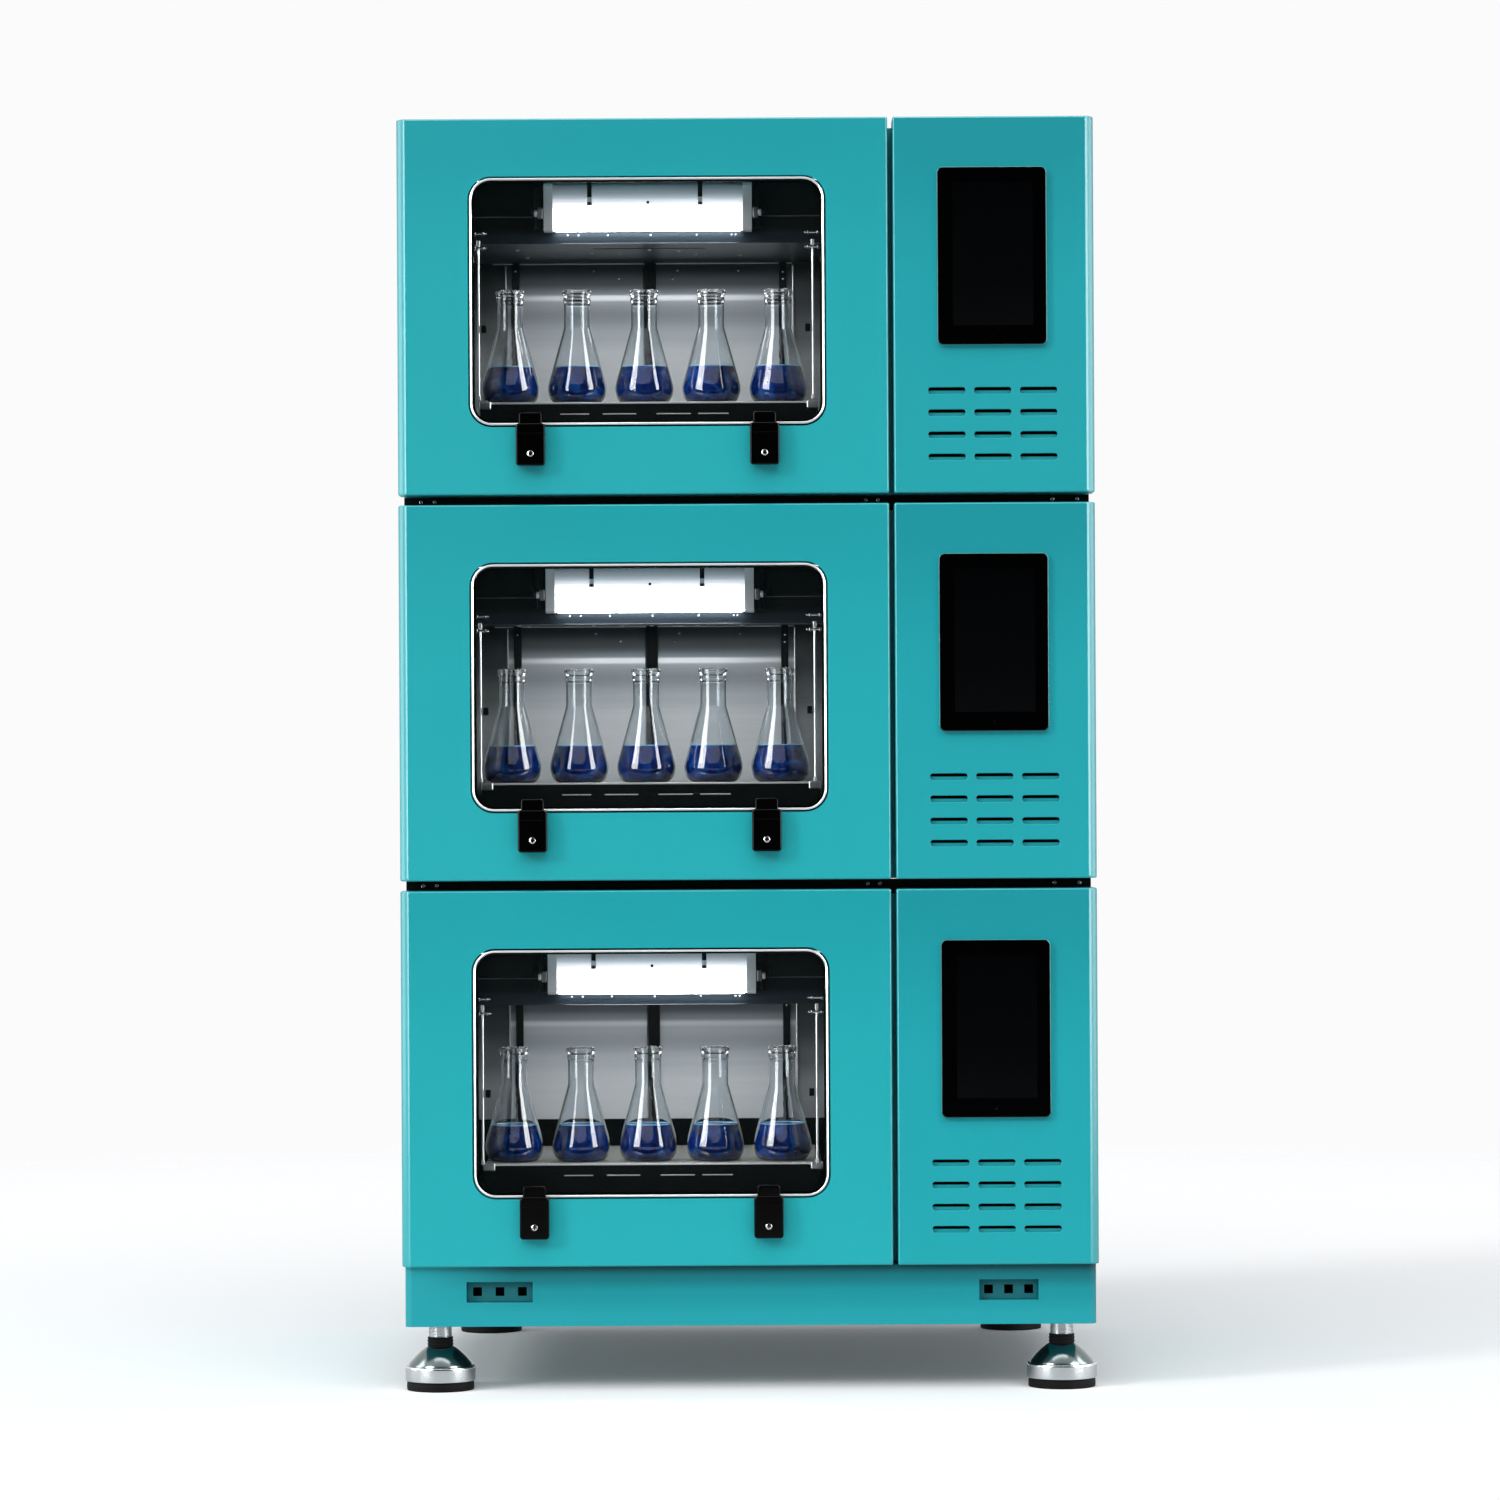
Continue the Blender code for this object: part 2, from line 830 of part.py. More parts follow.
def fascia_shape():
    depth = front_set - seat_gap
    bm = panel_shape(fascia_left, unit_right, depth, 1)
    hollow = block(
        (fascia_left + fascia_wall, front_y + fascia_wall, fascia_wall),
        (unit_right - fascia_wall, front_y + depth + cut_overrun, unit_height - fascia_wall),
    )

    def rounded_side(middle, direction):
        at_corner = abs(middle.x - (unit_right - fascia_wall)) < seat_gap
        return at_corner and abs(middle.y - (front_y + fascia_wall)) < seat_gap

    soften(hollow, panel_side_radius - fascia_wall, 3, rounded_side)
    centre_x, centre_z = screen_centre()
    opening = block(
        (
            centre_x - screen_width / 2 + screen_back_margin - seat_gap,
            front_y - cut_overrun,
            centre_z - screen_height / 2 + screen_back_margin - seat_gap,
        ),
        (
            centre_x + screen_width / 2 - screen_back_margin + seat_gap,
            front_y + fascia_wall + cut_overrun,
            centre_z + screen_height / 2 - screen_back_margin + seat_gap,
        ),
    )
    slots = []
    for column in range(vent_columns):
        for row in range(vent_rows):
            slots.append(
                rounded_slab(
                    fascia_left + vent_left_margin + column * vent_pitch + vent_width / 2,
                    vent_first_height + row * vent_row_pitch,
                    vent_width,
                    vent_height,
                    vent_end_radius,
                    front_y - cut_overrun,
                    front_y + fascia_wall + cut_overrun,
                    steps=1,
                )
            )
    return combine(bm, cuts=[hollow, opening, gather(slots)])


def screen_shape():
    centre_x, centre_z = screen_centre()
    face, seat = front_y - screen_proud, front_y - seat_gap
    tablet = rounded_slab(
        centre_x, centre_z, screen_width, screen_height, screen_radius, face, seat, small_corner_steps
    )

    def front_rim(middle, direction):
        return abs(middle.y - face) < seat_gap

    soften(tablet, panel_edge_bevel / 2, 1, front_rim)
    housing = block(
        (
            centre_x - screen_width / 2 + screen_back_margin,
            seat - screen_proud / 2,
            centre_z - screen_height / 2 + screen_back_margin,
        ),
        (
            centre_x + screen_width / 2 - screen_back_margin,
            seat + screen_back_depth,
            centre_z + screen_height / 2 - screen_back_margin,
        ),
    )
    return combine(tablet, joins=[housing])


# Cabinet and chamber


def cabinet_shape(with_spacers):
    left, right = unit_left + cabinet_side_inset, unit_right - cabinet_side_inset
    bm = block((left, cabinet_front_y, 0), (right, cabinet_back_y, cabinet_top))

    def upright(middle, direction):
        return abs(direction.z) > along_axis

    soften(bm, cabinet_edge_radius, 2, upright)
    skin = cabinet_skin
    partition_left = door_right - partition_inset
    chamber_side = block(
        (left + skin, cabinet_front_y + skin, skin),
        (partition_left, cabinet_back_y - skin, cabinet_top - skin),
    )
    control_side = block(
        (partition_left + skin, cabinet_front_y + skin, skin),
        (right - skin, cabinet_back_y - skin, cabinet_top - skin),
    )
    wrap = liner_sheet + seat_gap
    mouth = block(
        (chamber_left - wrap, cabinet_front_y - cut_overrun, chamber_floor_height - wrap),
        (chamber_right + wrap, cabinet_front_y + skin + cut_overrun, chamber_ceiling_height + wrap),
    )
    bay_mouth = block(
        (fascia_left + bay_margin, cabinet_front_y - cut_overrun, bay_margin),
        (
            right - bay_margin,
            cabinet_front_y + skin + cut_overrun,
            cabinet_top - bay_margin,
        ),
    )
    louvres = []
    for x in (left + louvre_side_inset, right - louvre_side_inset - louvre_width):
        for row in range(louvre_rows):
            z = louvre_first_height + row * louvre_pitch
            louvres.append(
                block(
                    (x, cabinet_back_y - skin - cut_overrun, z),
                    (x + louvre_width, cabinet_back_y + cut_overrun, z + louvre_height),
                )
            )
    joins = []
    for height in hinge_heights():
        half = hinge_knuckle_height / 2
        joins.append(
            block(
                (door_hinge.x - hinge_arm_width / 2, door_hinge.y, height - half),
                (door_hinge.x + hinge_arm_width / 2, cabinet_front_y + skin / 2, height + half),
            )
        )
        joins.append(drum(door_hinge, hinge_knuckle_radius, height - half, height + half, coarse_turn))
        reach = half + hinge_pin_reach
        joins.append(drum(door_hinge, hinge_pin_radius, height - reach, height + reach, small_turn))
    if with_spacers:
        drop = unit_gap + cabinet_top_drop - seat_gap
        for x in (left + spacer_inset, right - spacer_inset - spacer_width):
            for y in (cabinet_front_y + spacer_inset, cabinet_back_y - spacer_inset - spacer_width):
                joins.append(block((x, y, -drop), (x + spacer_width, y + spacer_width, skin / 2)))
    hollow = combine(bm, cuts=[chamber_side, control_side, mouth, bay_mouth, gather(louvres)])
    return combine(hollow, joins=joins)


def liner_shape():
    sheet = liner_sheet
    outer = block(
        (chamber_left - sheet, chamber_front_y, chamber_floor_height - sheet),
        (chamber_right + sheet, chamber_back_y + sheet, chamber_ceiling_height + sheet),
    )
    flange = block(
        (
            chamber_left - sheet - liner_flange,
            chamber_front_y,
            chamber_floor_height - sheet - liner_flange,
        ),
        (
            chamber_right + sheet + liner_flange,
            chamber_front_y + sheet,
            chamber_ceiling_height + sheet + liner_flange,
        ),
    )
    hollow = block(
        (chamber_left, chamber_front_y - cut_overrun, chamber_floor_height),
        (chamber_right, chamber_back_y, chamber_ceiling_height),
    )
    shaft_holes = [
        drum(
            (x, crank_y), shaft_hole_radius,
            chamber_floor_height - sheet - cut_overrun, chamber_floor_height + cut_overrun, coarse_turn,
        )
        for x in (drive_x, idler_x)
    ]
    shell = combine(outer, joins=[flange], cuts=[hollow, gather(shaft_holes)])
    fan_centre = (window_x, fan_y)
    motor_bottom_z = chamber_ceiling_height - fan_motor_height
    additions = [
        drum(fan_centre, fan_motor_radius, motor_bottom_z, chamber_ceiling_height + sheet / 2, coarse_turn),
        drum(fan_centre, fan_shaft_radius, motor_bottom_z - fan_shaft_length, motor_bottom_z + sheet, small_turn),
    ]
    for side in (-1, 1):
        inner = window_x + side * back_panel_gap / 2
        outer_edge = inner + side * back_panel_width
        ends = sorted((inner, outer_edge))
        additions.append(
            block(
                (ends[0], chamber_back_y - back_panel_thickness, chamber_floor_height + back_panel_foot),
                (ends[1], chamber_back_y + sheet / 2, plenum_back_height() - plenum_sheet),
            )
        )
    return combine(shell, joins=additions)


def plenum_back_height():
    return plenum_front_height + plenum_rise


def plenum_shape():
    """A bent sheet: an upright front, and an underside that rises to the back wall."""
    front = chamber_front_y + plenum_front_set
    back = chamber_back_y - seat_gap
    top = chamber_ceiling_height - seat_gap
    sheet = plenum_sheet
    low_front, low_back = plenum_front_height, plenum_back_height()
    profile = (
        (front, low_front),
        (back, low_back),
        (back, low_back + sheet),
        (front + sheet, low_front + sheet),
        (front + sheet, top),
        (front, top),
    )
    bm = slab_along_x(profile, chamber_left + seat_gap, chamber_right - seat_gap)
    slots = []
    first = window_x - grille_slot_pitch * (grille_slots - 1) / 2
    for slot in range(grille_slots):
        x = first + slot * grille_slot_pitch
        slots.append(
            block(
                (x - grille_slot_width / 2, fan_y - grille_slot_length / 2, low_front - cut_overrun),
                (x + grille_slot_width / 2, fan_y + grille_slot_length / 2, low_back + cut_overrun),
            )
        )
    return combine(bm, cuts=[gather(slots)])


def lamp_shape():
    back = chamber_front_y + plenum_front_set - seat_gap
    front = back - lamp_depth
    bm = block(
        (window_x - lamp_width / 2, front, lamp_base_height),
        (window_x + lamp_width / 2, back, lamp_base_height + lamp_height),
    )

    def long_front_edge(middle, direction):
        return abs(middle.y - front) < seat_gap and abs(direction.x) > along_axis

    return soften(bm, lamp_edge_radius, 3, long_front_edge)


def fan_shape():
    """A centrifugal wheel: a back plate and hub above, swept blades below."""
    centre = Vector((window_x, fan_y, 0))
    hub_bottom_z = fan_top - fan_hub_height
    plate_bottom = fan_top - fan_plate_thickness * 2
    plate = drum(centre, fan_radius, plate_bottom, plate_bottom + fan_plate_thickness, fine_turn)
    joins = [drum(centre, fan_hub_radius, hub_bottom_z, fan_top, coarse_turn)]
    for blade in range(fan_blades):
        joins.append(fan_blade(centre, blade * 2 * math.pi / fan_blades, plate_bottom))
    bore = drum(
        centre, fan_shaft_radius + running_clearance,
        fan_top - fan_shaft_length - 2 * seat_gap, fan_top + cut_overrun, small_turn,
    )
    return combine(plate, joins=joins, cuts=[bore])


def fan_blade(centre, angle, plate_bottom):
    """One blade, swept back as it runs from the eye to the rim."""
    bottom = plate_bottom - fan_blade_height
    top = plate_bottom + fan_plate_thickness / 2
    sides = ([], [])
    for share in (0, 1):
        radius = fan_eye_radius + (fan_radius - fan_plate_thickness - fan_eye_radius) * share
        turn = angle - math.radians(fan_blade_sweep_deg) * share
        point = Vector((radius * math.cos(turn), radius * math.sin(turn), 0)) + centre
        across = Vector((-math.sin(turn), math.cos(turn), 0)) * fan_blade_thickness / 2
        sides[0].append(point - across)
        sides[1].append(point + across)
    outline = sides[0] + list(reversed(sides[1]))
    return slab_upright([(point.x, point.y) for point in outline], bottom, top)


# Shaking platform and drive


def platform_shape():
    low = Vector((window_x - platform_width / 2, platform_front_y, platform_bottom))
    high = Vector((window_x + platform_width / 2, platform_front_y + platform_depth, platform_height))
    bm = block(low, high)

    def upright(middle, direction):
        return abs(direction.z) > along_axis

    soften(bm, platform_bevel * 2, 2, upright)
    rim = Vector((platform_rim, platform_rim, 0))
    pan = block(
        low + rim - Vector((0, 0, cut_overrun)),
        high - rim - Vector((0, 0, platform_plate)),
    )
    ceiling = platform_height - platform_plate
    pins = [(x, crank_y + crank_throw) for x in (drive_x, idler_x)]
    bosses = [
        drum(pin, bearing_boss_radius, platform_bottom, ceiling + platform_plate / 2, coarse_turn)
        for pin in pins
    ]
    rib_half = platform_plate / 4
    ribs = []
    for x in (drive_x, idler_x):
        ribs.append(
            block(
                (x - rib_half, low.y + platform_rim / 2, platform_bottom + platform_plate),
                (x + rib_half, high.y - platform_rim / 2, ceiling + platform_plate / 2),
            )
        )
    ribs.append(
        block(
            (low.x + platform_rim / 2, crank_y + crank_throw - rib_half, platform_bottom + platform_plate),
            (high.x - platform_rim / 2, crank_y + crank_throw + rib_half, ceiling + platform_plate / 2),
        )
    )
    bores = [
        drum(
            pin, clear_radius(crank_pin_radius, seat_gap, small_turn),
            platform_bottom - cut_overrun, disc_top + crank_pin_length + crank_disc_lift, small_turn,
        )
        for pin in pins
    ]
    hollow = combine(bm, cuts=[pan])
    return combine(combine(hollow, joins=ribs + bosses), cuts=[gather(bores)])


def crank_shape(x):
    """Hub, disc, eccentric pin and, opposite the pin, a counterweight."""
    centre = (x, crank_y)
    disc = drum(centre, crank_disc_radius, disc_bottom, disc_top, fine_turn)
    hub = drum(centre, crank_hub_radius, hub_bottom, disc_bottom + crank_disc_thickness / 2, coarse_turn)
    pin = drum(
        (x, crank_y + crank_throw), crank_pin_radius,
        disc_top - crank_disc_thickness / 2, disc_top + crank_pin_length, small_turn,
    )
    steps = 5
    outline = [(x, crank_y)]
    for step in range(steps + 1):
        angle = math.radians(270 + weight_spread_deg * (2 * step / steps - 1))
        outline.append((x + weight_radius * math.cos(angle), crank_y + weight_radius * math.sin(angle)))
    weight = slab_upright(outline, disc_bottom, disc_top)
    socket = drum(
        centre, spindle_radius + running_clearance,
        hub_bottom - cut_overrun, hub_bottom + crank_socket_depth, coarse_turn,
    )
    return combine(disc, joins=[weight, hub, pin], cuts=[socket])


def motor_shape():
    centre = (drive_x, crank_y)
    bm = drum(centre, motor_radius, motor_bottom, motor_top, fine_turn)

    def rim(middle, direction):
        return abs(middle.z - motor_top) < seat_gap

    soften(bm, motor_edge_bevel, 1, rim)
    shaft = drum(centre, spindle_radius, motor_top - motor_edge_bevel, spindle_top, coarse_turn)
    return combine(bm, joins=[shaft])


def base_shape():
    middle_x = (drive_x + idler_x) / 2
    plate = block(
        (middle_x - base_width / 2, crank_y - base_depth / 2, base_bottom),
        (middle_x + base_width / 2, crank_y + base_depth / 2, base_top),
    )

    def upright(middle, direction):
        return abs(direction.z) > along_axis

    soften(plate, base_thickness, 2, upright)
    tower = turned(
        (
            (0, base_bottom + base_thickness / 2),
            (tower_foot_radius, base_bottom + base_thickness / 2),
            (tower_foot_radius, base_top),
            (tower_radius, base_top + tower_foot_radius - tower_radius),
            (tower_radius, motor_top),
            (spindle_radius, motor_top),
            (spindle_radius, spindle_top),
            (0, spindle_top),
        ),
        (idler_x, crank_y),
        coarse_turn,
    )
    return combine(plate, joins=[tower])


# Plinth and feet


def foot_places():
    """Name and centre of each foot: the rear pair stands closer together."""
    front = front_y + foot_front_set
    back = cabinet_back_y - foot_back_set
    foot_x = unit_right - foot_side_inset
    rear_x = foot_x - rear_foot_inset
    return (
        ("front_left", (-foot_x, front)),
        ("front_right", (foot_x, front)),
        ("rear_left", (-rear_x, back)),
        ("rear_right", (rear_x, back)),
    )


def plinth_shape():
    half = plinth_width / 2
    front, back = front_y + plinth_front_set, cabinet_back_y - plinth_back_set
    bottom = foot_height
    bm = block((-half, front, bottom), (half, back, plinth_top))

    def upright(middle, direction):
        return abs(direction.z) > along_axis

    soften(bm, plinth_corner_radius, 3, upright)
    pan = block(
        (-half + plinth_wall, front + plinth_front_wall, bottom - cut_overrun),
        (half - plinth_wall, back - plinth_wall, plinth_top - plinth_wall),
    )
    blocks = []
    bores = []
    for _, (x, y) in foot_places():
        side = math.copysign(1, x)
        outer = side * (half - plinth_wall / 2)
        inner = x - side * foot_block / 2
        ends = sorted((outer, inner))
        is_front = y < 0
        y_ends = (front + plinth_wall, y + foot_block / 2) if is_front else (y - foot_block / 2, back - plinth_wall / 2)
        blocks.append(
            block(
                (ends[0], y_ends[0], bottom),
                (ends[1], y_ends[1], bottom + foot_block_height),
            )
        )
        bores.append(
            drum(
                (x, y), stem_radius + stem_clearance,
                bottom - cut_overrun, bottom + stem_grip + cut_overrun, coarse_turn,
            )
        )
    cuts = [gather(bores)]
    niche_z = foot_height + niche_rise
    niches = (
        (unit_left + left_niche_inset, left_niche_width),
        (unit_right - right_niche_inset, right_niche_width),
    )
    for centre, width in niches:
        cuts.append(
            block(
                (centre - width / 2, front - cut_overrun, niche_z - niche_height / 2),
                (centre + width / 2, front + niche_depth, niche_z + niche_height / 2),
            )
        )
        sockets = []
        for socket in range(niche_sockets):
            x = centre + (socket - (niche_sockets - 1) / 2) * width * niche_socket_pitch_share
            sockets.append(
                block(
                    (x - niche_socket / 2, front, niche_z - niche_socket / 2),
                    (
                        x + niche_socket / 2,
                        front + niche_depth + niche_socket_depth,
                        niche_z + niche_socket / 2,
                    ),
                )
            )
        cuts.append(gather(sockets))
    tray = combine(bm, cuts=[pan])
    return combine(combine(tray, joins=blocks), cuts=cuts)


def foot_shape(centre):
    """Rubber pad, steel ring, cone, beaded neck and threaded stem, all turned."""
    ring_bottom = pad_height
    cone_bottom = ring_bottom + ring_height
    neck_bottom = cone_bottom + cone_height
    stem_bottom = neck_bottom + bead_height
    bead_dip = bead_radius - (bead_radius - stem_radius) * 2
    profile = (
        (0, 0),
        (pad_radius, 0),
        (pad_radius, ring_bottom),
        (ring_radius, ring_bottom + pad_edge / 2),
        (ring_radius, cone_bottom - pad_edge),
        (cone_foot_radius, cone_bottom),
        (bead_dip, neck_bottom),
        (bead_radius, neck_bottom + bead_height / 4),
        (bead_dip, neck_bottom + bead_height / 2),
        (bead_radius, neck_bottom + bead_height * 3 / 4),
        (stem_radius, stem_bottom),
        (stem_radius, foot_height + stem_grip),
        (0, foot_height + stem_grip),
    )
    return turned(profile, centre, fine_turn)


# Putting the pieces in the scene


class Stack:
    """Places objects by their world position, under a parent that may itself be moved."""

    def __init__(self):
        self.places = {}

    def add(self, name, data, place, parent=None):
        obj = bpy.data.objects.new(name, data)
        bpy.context.scene.collection.objects.link(obj)
        place = Vector(place)
        self.places[name] = place
        if parent is not None:
            obj.parent = bpy.data.objects[parent]
            obj.location = place - self.places[parent]
        else:
            obj.location = place
        return obj


def unit_pieces():
    """Name, finish, pivot, parent and shape of every piece of one unit, except its cabinet."""
    origin = Vector((0, 0, 0))
    left_x, right_x = latch_places()
    left_latch = Vector((left_x, latch_y, latch_z))
    right_latch = Vector((right_x, latch_y, latch_z))
    drive_axis = Vector((drive_x, crank_y, disc_top))
    idler_axis = Vector((idler_x, crank_y, disc_top))
    drive_pin = Vector((drive_x, crank_y + crank_throw, disc_top))
    fan_axis = Vector((window_x, fan_y, fan_top))
    return (
        ("chamber_liner", "dark_steel", origin, "unit", liner_shape),
        ("ceiling_plenum", "dark_steel", origin, "unit", plenum_shape),
        ("chamber_lamp", "lamp_diffuser", origin, "unit", lamp_shape),
        ("control_fascia", "teal_enamel", origin, "unit", fascia_shape),
        ("touch_screen", "screen_glass", origin, "unit", screen_shape),
        ("drive_base", "cast_aluminium", origin, "unit", base_shape),
        ("drive_motor", "motor_grey", origin, "unit", motor_shape),
        ("circulation_fan", "motor_grey", fan_axis, "unit", fan_shape),
        ("drive_crank", "cast_aluminium", drive_axis, "unit", lambda: crank_shape(drive_x)),
        ("idler_crank", "cast_aluminium", idler_axis, "unit", lambda: crank_shape(idler_x)),
        ("shaking_platform", "black_enamel", drive_pin, "drive_crank", platform_shape),
        ("door_panel", "door_enamel", door_hinge, "unit", door_shape),
        ("door_gasket", "black_rubber", door_hinge, "door_panel", gasket_shape),
        ("window_frame", "polished_steel", window_hinge, "door_panel", frame_shape),
        ("window_glass", "window_glass", window_hinge, "window_frame", glass_shape),
        ("latch_lever_left", "black_plastic", left_latch, "window_frame", lambda: latch_shape(left_x)),
        ("latch_lever_right", "black_plastic", right_latch, "window_frame", lambda: latch_shape(right_x)),
    )


def main():
    clear_scene()
    made = {name: make_finish(name) for name in finishes}
    stack = Stack()
    bare = finished_mesh("cabinet_bare", cabinet_shape(False), (0, 0, 0), made["teal_enamel"])
    spaced = finished_mesh("cabinet_spaced", cabinet_shape(True), (0, 0, 0), made["teal_enamel"])
    pieces = [
        (name, finished_mesh(name, shape(), pivot, made[finish]), pivot, parent)
        for name, finish, pivot, parent, shape in unit_pieces()
    ]
    for level, unit in enumerate(unit_names):
        base = Vector((0, 0, first_unit_z + level * unit_pitch))
        stack.add(f"{unit}_unit", None, base)
        cabinet = bare if level == 0 else spaced
        stack.add(f"{unit}_cabinet_shell", cabinet, base, f"{unit}_unit")
        for name, mesh, pivot, parent in pieces:
            stack.add(f"{unit}_{name}", mesh, base + pivot, f"{unit}_{parent}")
    stack.add("plinth", finished_mesh("plinth", plinth_shape(), (0, 0, 0), made["teal_enamel"]), (0, 0, 0))
    foot = finished_mesh("levelling_foot", foot_shape((0, 0)), (0, 0, 0), made["polished_steel"])
    for place, (x, y) in foot_places():
        stack.add(f"{place}_foot", foot, (x, y, 0), "plinth")
    bpy.context.view_layer.update()


main()
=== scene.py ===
# %% [markdown]
# # Dressing a stack of three incubated shakers
# Three identical cabinets stand on a levelling plinth. Behind each window a platform
# swings five flasks round in small circles while a lamp lights the chamber.
# The solids of the object are already built and packed. This lesson gives them their
# visible surfaces: enamel, glass, steel, rubber, and the small parts a solid leaves out.

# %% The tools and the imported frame
import json
import math

import bmesh
import bpy
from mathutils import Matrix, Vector


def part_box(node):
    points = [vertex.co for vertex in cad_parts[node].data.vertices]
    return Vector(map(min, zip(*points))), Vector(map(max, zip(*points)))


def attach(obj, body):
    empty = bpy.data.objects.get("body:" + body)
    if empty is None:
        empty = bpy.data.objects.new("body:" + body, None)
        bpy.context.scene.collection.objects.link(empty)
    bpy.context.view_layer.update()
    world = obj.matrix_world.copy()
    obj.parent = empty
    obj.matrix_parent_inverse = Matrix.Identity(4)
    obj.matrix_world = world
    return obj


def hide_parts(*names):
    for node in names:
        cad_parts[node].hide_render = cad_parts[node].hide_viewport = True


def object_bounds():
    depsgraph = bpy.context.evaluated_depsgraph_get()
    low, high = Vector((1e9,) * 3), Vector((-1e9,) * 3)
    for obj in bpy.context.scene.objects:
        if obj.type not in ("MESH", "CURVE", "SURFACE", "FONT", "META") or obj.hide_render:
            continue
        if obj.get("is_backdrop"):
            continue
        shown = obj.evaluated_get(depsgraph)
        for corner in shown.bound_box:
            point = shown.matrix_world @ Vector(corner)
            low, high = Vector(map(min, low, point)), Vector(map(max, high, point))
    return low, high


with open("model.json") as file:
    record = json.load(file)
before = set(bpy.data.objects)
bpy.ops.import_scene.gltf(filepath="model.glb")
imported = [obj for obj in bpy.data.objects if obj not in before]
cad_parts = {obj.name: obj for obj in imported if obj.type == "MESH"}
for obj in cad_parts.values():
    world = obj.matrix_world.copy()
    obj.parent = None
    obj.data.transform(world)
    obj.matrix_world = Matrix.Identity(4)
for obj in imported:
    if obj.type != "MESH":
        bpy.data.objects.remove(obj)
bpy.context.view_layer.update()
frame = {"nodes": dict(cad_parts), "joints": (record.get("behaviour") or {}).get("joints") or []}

# %% [markdown]
# ## One unit, made once
# The three cabinets are the same product, so every piece is modelled once, measured
# from the front lower edge of its own cabinet, and copied up the stack. The solids say
# where each cabinet stands, so nothing has to be measured twice.

# %% Where each unit stands
units = ("lower", "middle", "upper")
corner = Vector((0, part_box("lower_control_fascia")[0].y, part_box("lower_door_panel")[0].z))
rises = [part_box(f"{unit}_door_panel")[0].z - corner.z for unit in units]
unit_pitch = rises[1]


def solid(node):
    """The lower unit's solid, measured from its own corner."""
    low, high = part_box(f"lower_{node}")
    return low - corner, high - corner


door_low, door_high = solid("door_panel")
fascia_low, fascia_high = solid("control_fascia")
window_low, window_high = solid("window_frame")
platform_low, platform_high = solid("shaking_platform")
plenum_low, plenum_high = solid("ceiling_plenum")
lamp_low, lamp_high = solid("chamber_lamp")
unit_height = door_high.z
door_depth = door_high.y
window_x = (window_low.x + window_high.x) / 2
window_z = (window_low.z + window_high.z) / 2
print("unit pitch", round(unit_pitch, 4), "window", [round(v, 4) for v in window_high - window_low])

# %% [markdown]
# ## Nodes in a few words
# Materials are small networks. Writing each link by hand is long, so one helper adds a
# node, sets its values and joins whatever is passed to it as a socket.


# %% Colour and node helpers
def linear(channel):
    share = channel / 255
    return share / 12.92 if share <= 0.04045 else ((share + 0.055) / 1.055) ** 2.4


def colour(red, green, blue):
    """A screen colour, 0 to 255, in the linear values that Blender mixes."""
    return (linear(red), linear(green), linear(blue), 1.0)


def node(tree, kind, values=None, **settings):
    made = tree.nodes.new(kind)
    for name, setting in settings.items():
        setattr(made, name, setting)
    for place, value in (values or {}).items():
        if isinstance(value, bpy.types.NodeSocket):
            tree.links.new(value, made.inputs[place])
        else:
            made.inputs[place].default_value = value
    return made


def math_node(tree, operation, first, second=0.0, third=0.0):
    values = {0: first, 1: second, 2: third}
    return node(tree, "ShaderNodeMath", values, operation=operation).outputs[0]


def mix_colour(tree, share, first, second, blend="MIX"):
    values = {0: share, 6: first, 7: second}
    return node(tree, "ShaderNodeMix", values, data_type="RGBA", blend_type=blend).outputs[2]


def ramp(tree, value, stops, smooth=True):
    made = node(tree, "ShaderNodeValToRGB", {0: value})
    made.color_ramp.interpolation = "EASE" if smooth else "LINEAR"
    elements = made.color_ramp.elements
    elements[0].position, elements[0].color = stops[0]
    elements[1].position, elements[1].color = stops[-1]
    for position, tint in stops[1:-1]:
        elements.new(position).color = tint
    return made.outputs[0]


# %% [markdown]
# ## Effects that several finishes share
# Enamel, steel and glass are never one flat tone. Slow colour drift, the fine pitting of
# sprayed paint, the grain of brushed sheet and the height above a cabinet's floor are
# needed in many places, so each is a node group with its own inputs, built once.


# %% Effect groups
def effect(name, takes, gives):
    group = bpy.data.node_groups.new(name, "ShaderNodeTree")
    for label, kind, value in takes:
        group.interface.new_socket(name=label, in_out="INPUT", socket_type=kind).default_value = value
    for label, kind in gives:
        group.interface.new_socket(name=label, in_out="OUTPUT", socket_type=kind)
    return group, group.nodes.new("NodeGroupInput"), group.nodes.new("NodeGroupOutput")


COLOUR, VALUE, ARROW = "NodeSocketColor", "NodeSocketFloat", "NodeSocketVector"
SURFACE = [("Colour", COLOUR), ("Roughness", VALUE), ("Height", VALUE)]

# Slow drift of tone, with fine pitting: sprayed enamel, moulded plastic, cast metal.
mottle, given, result = effect(
    "mottled coat",
    [
        ("Colour", COLOUR, (0.5, 0.5, 0.5, 1.0)), ("Drift", VALUE, 0.04), ("Drift size", VALUE, 6.0),
        ("Pit size", VALUE, 700.0), ("Roughness", VALUE, 0.4), ("Roughness drift", VALUE, 0.05),
    ],
    SURFACE,
)
place = node(mottle, "ShaderNodeTexCoord").outputs["Object"]
drift = node(
    mottle, "ShaderNodeTexNoise",
    {"Vector": place, "Scale": given.outputs["Drift size"], "Detail": 4.0, "Roughness": 0.55},
).outputs[0]
pits = node(
    mottle, "ShaderNodeTexNoise",
    {"Vector": place, "Scale": given.outputs["Pit size"], "Detail": 2.0, "Roughness": 0.6},
).outputs[0]
swing = math_node(mottle, "MULTIPLY_ADD", drift, 2.0, -1.0)
lift = math_node(mottle, "MULTIPLY_ADD", swing, given.outputs["Drift"], 1.0)
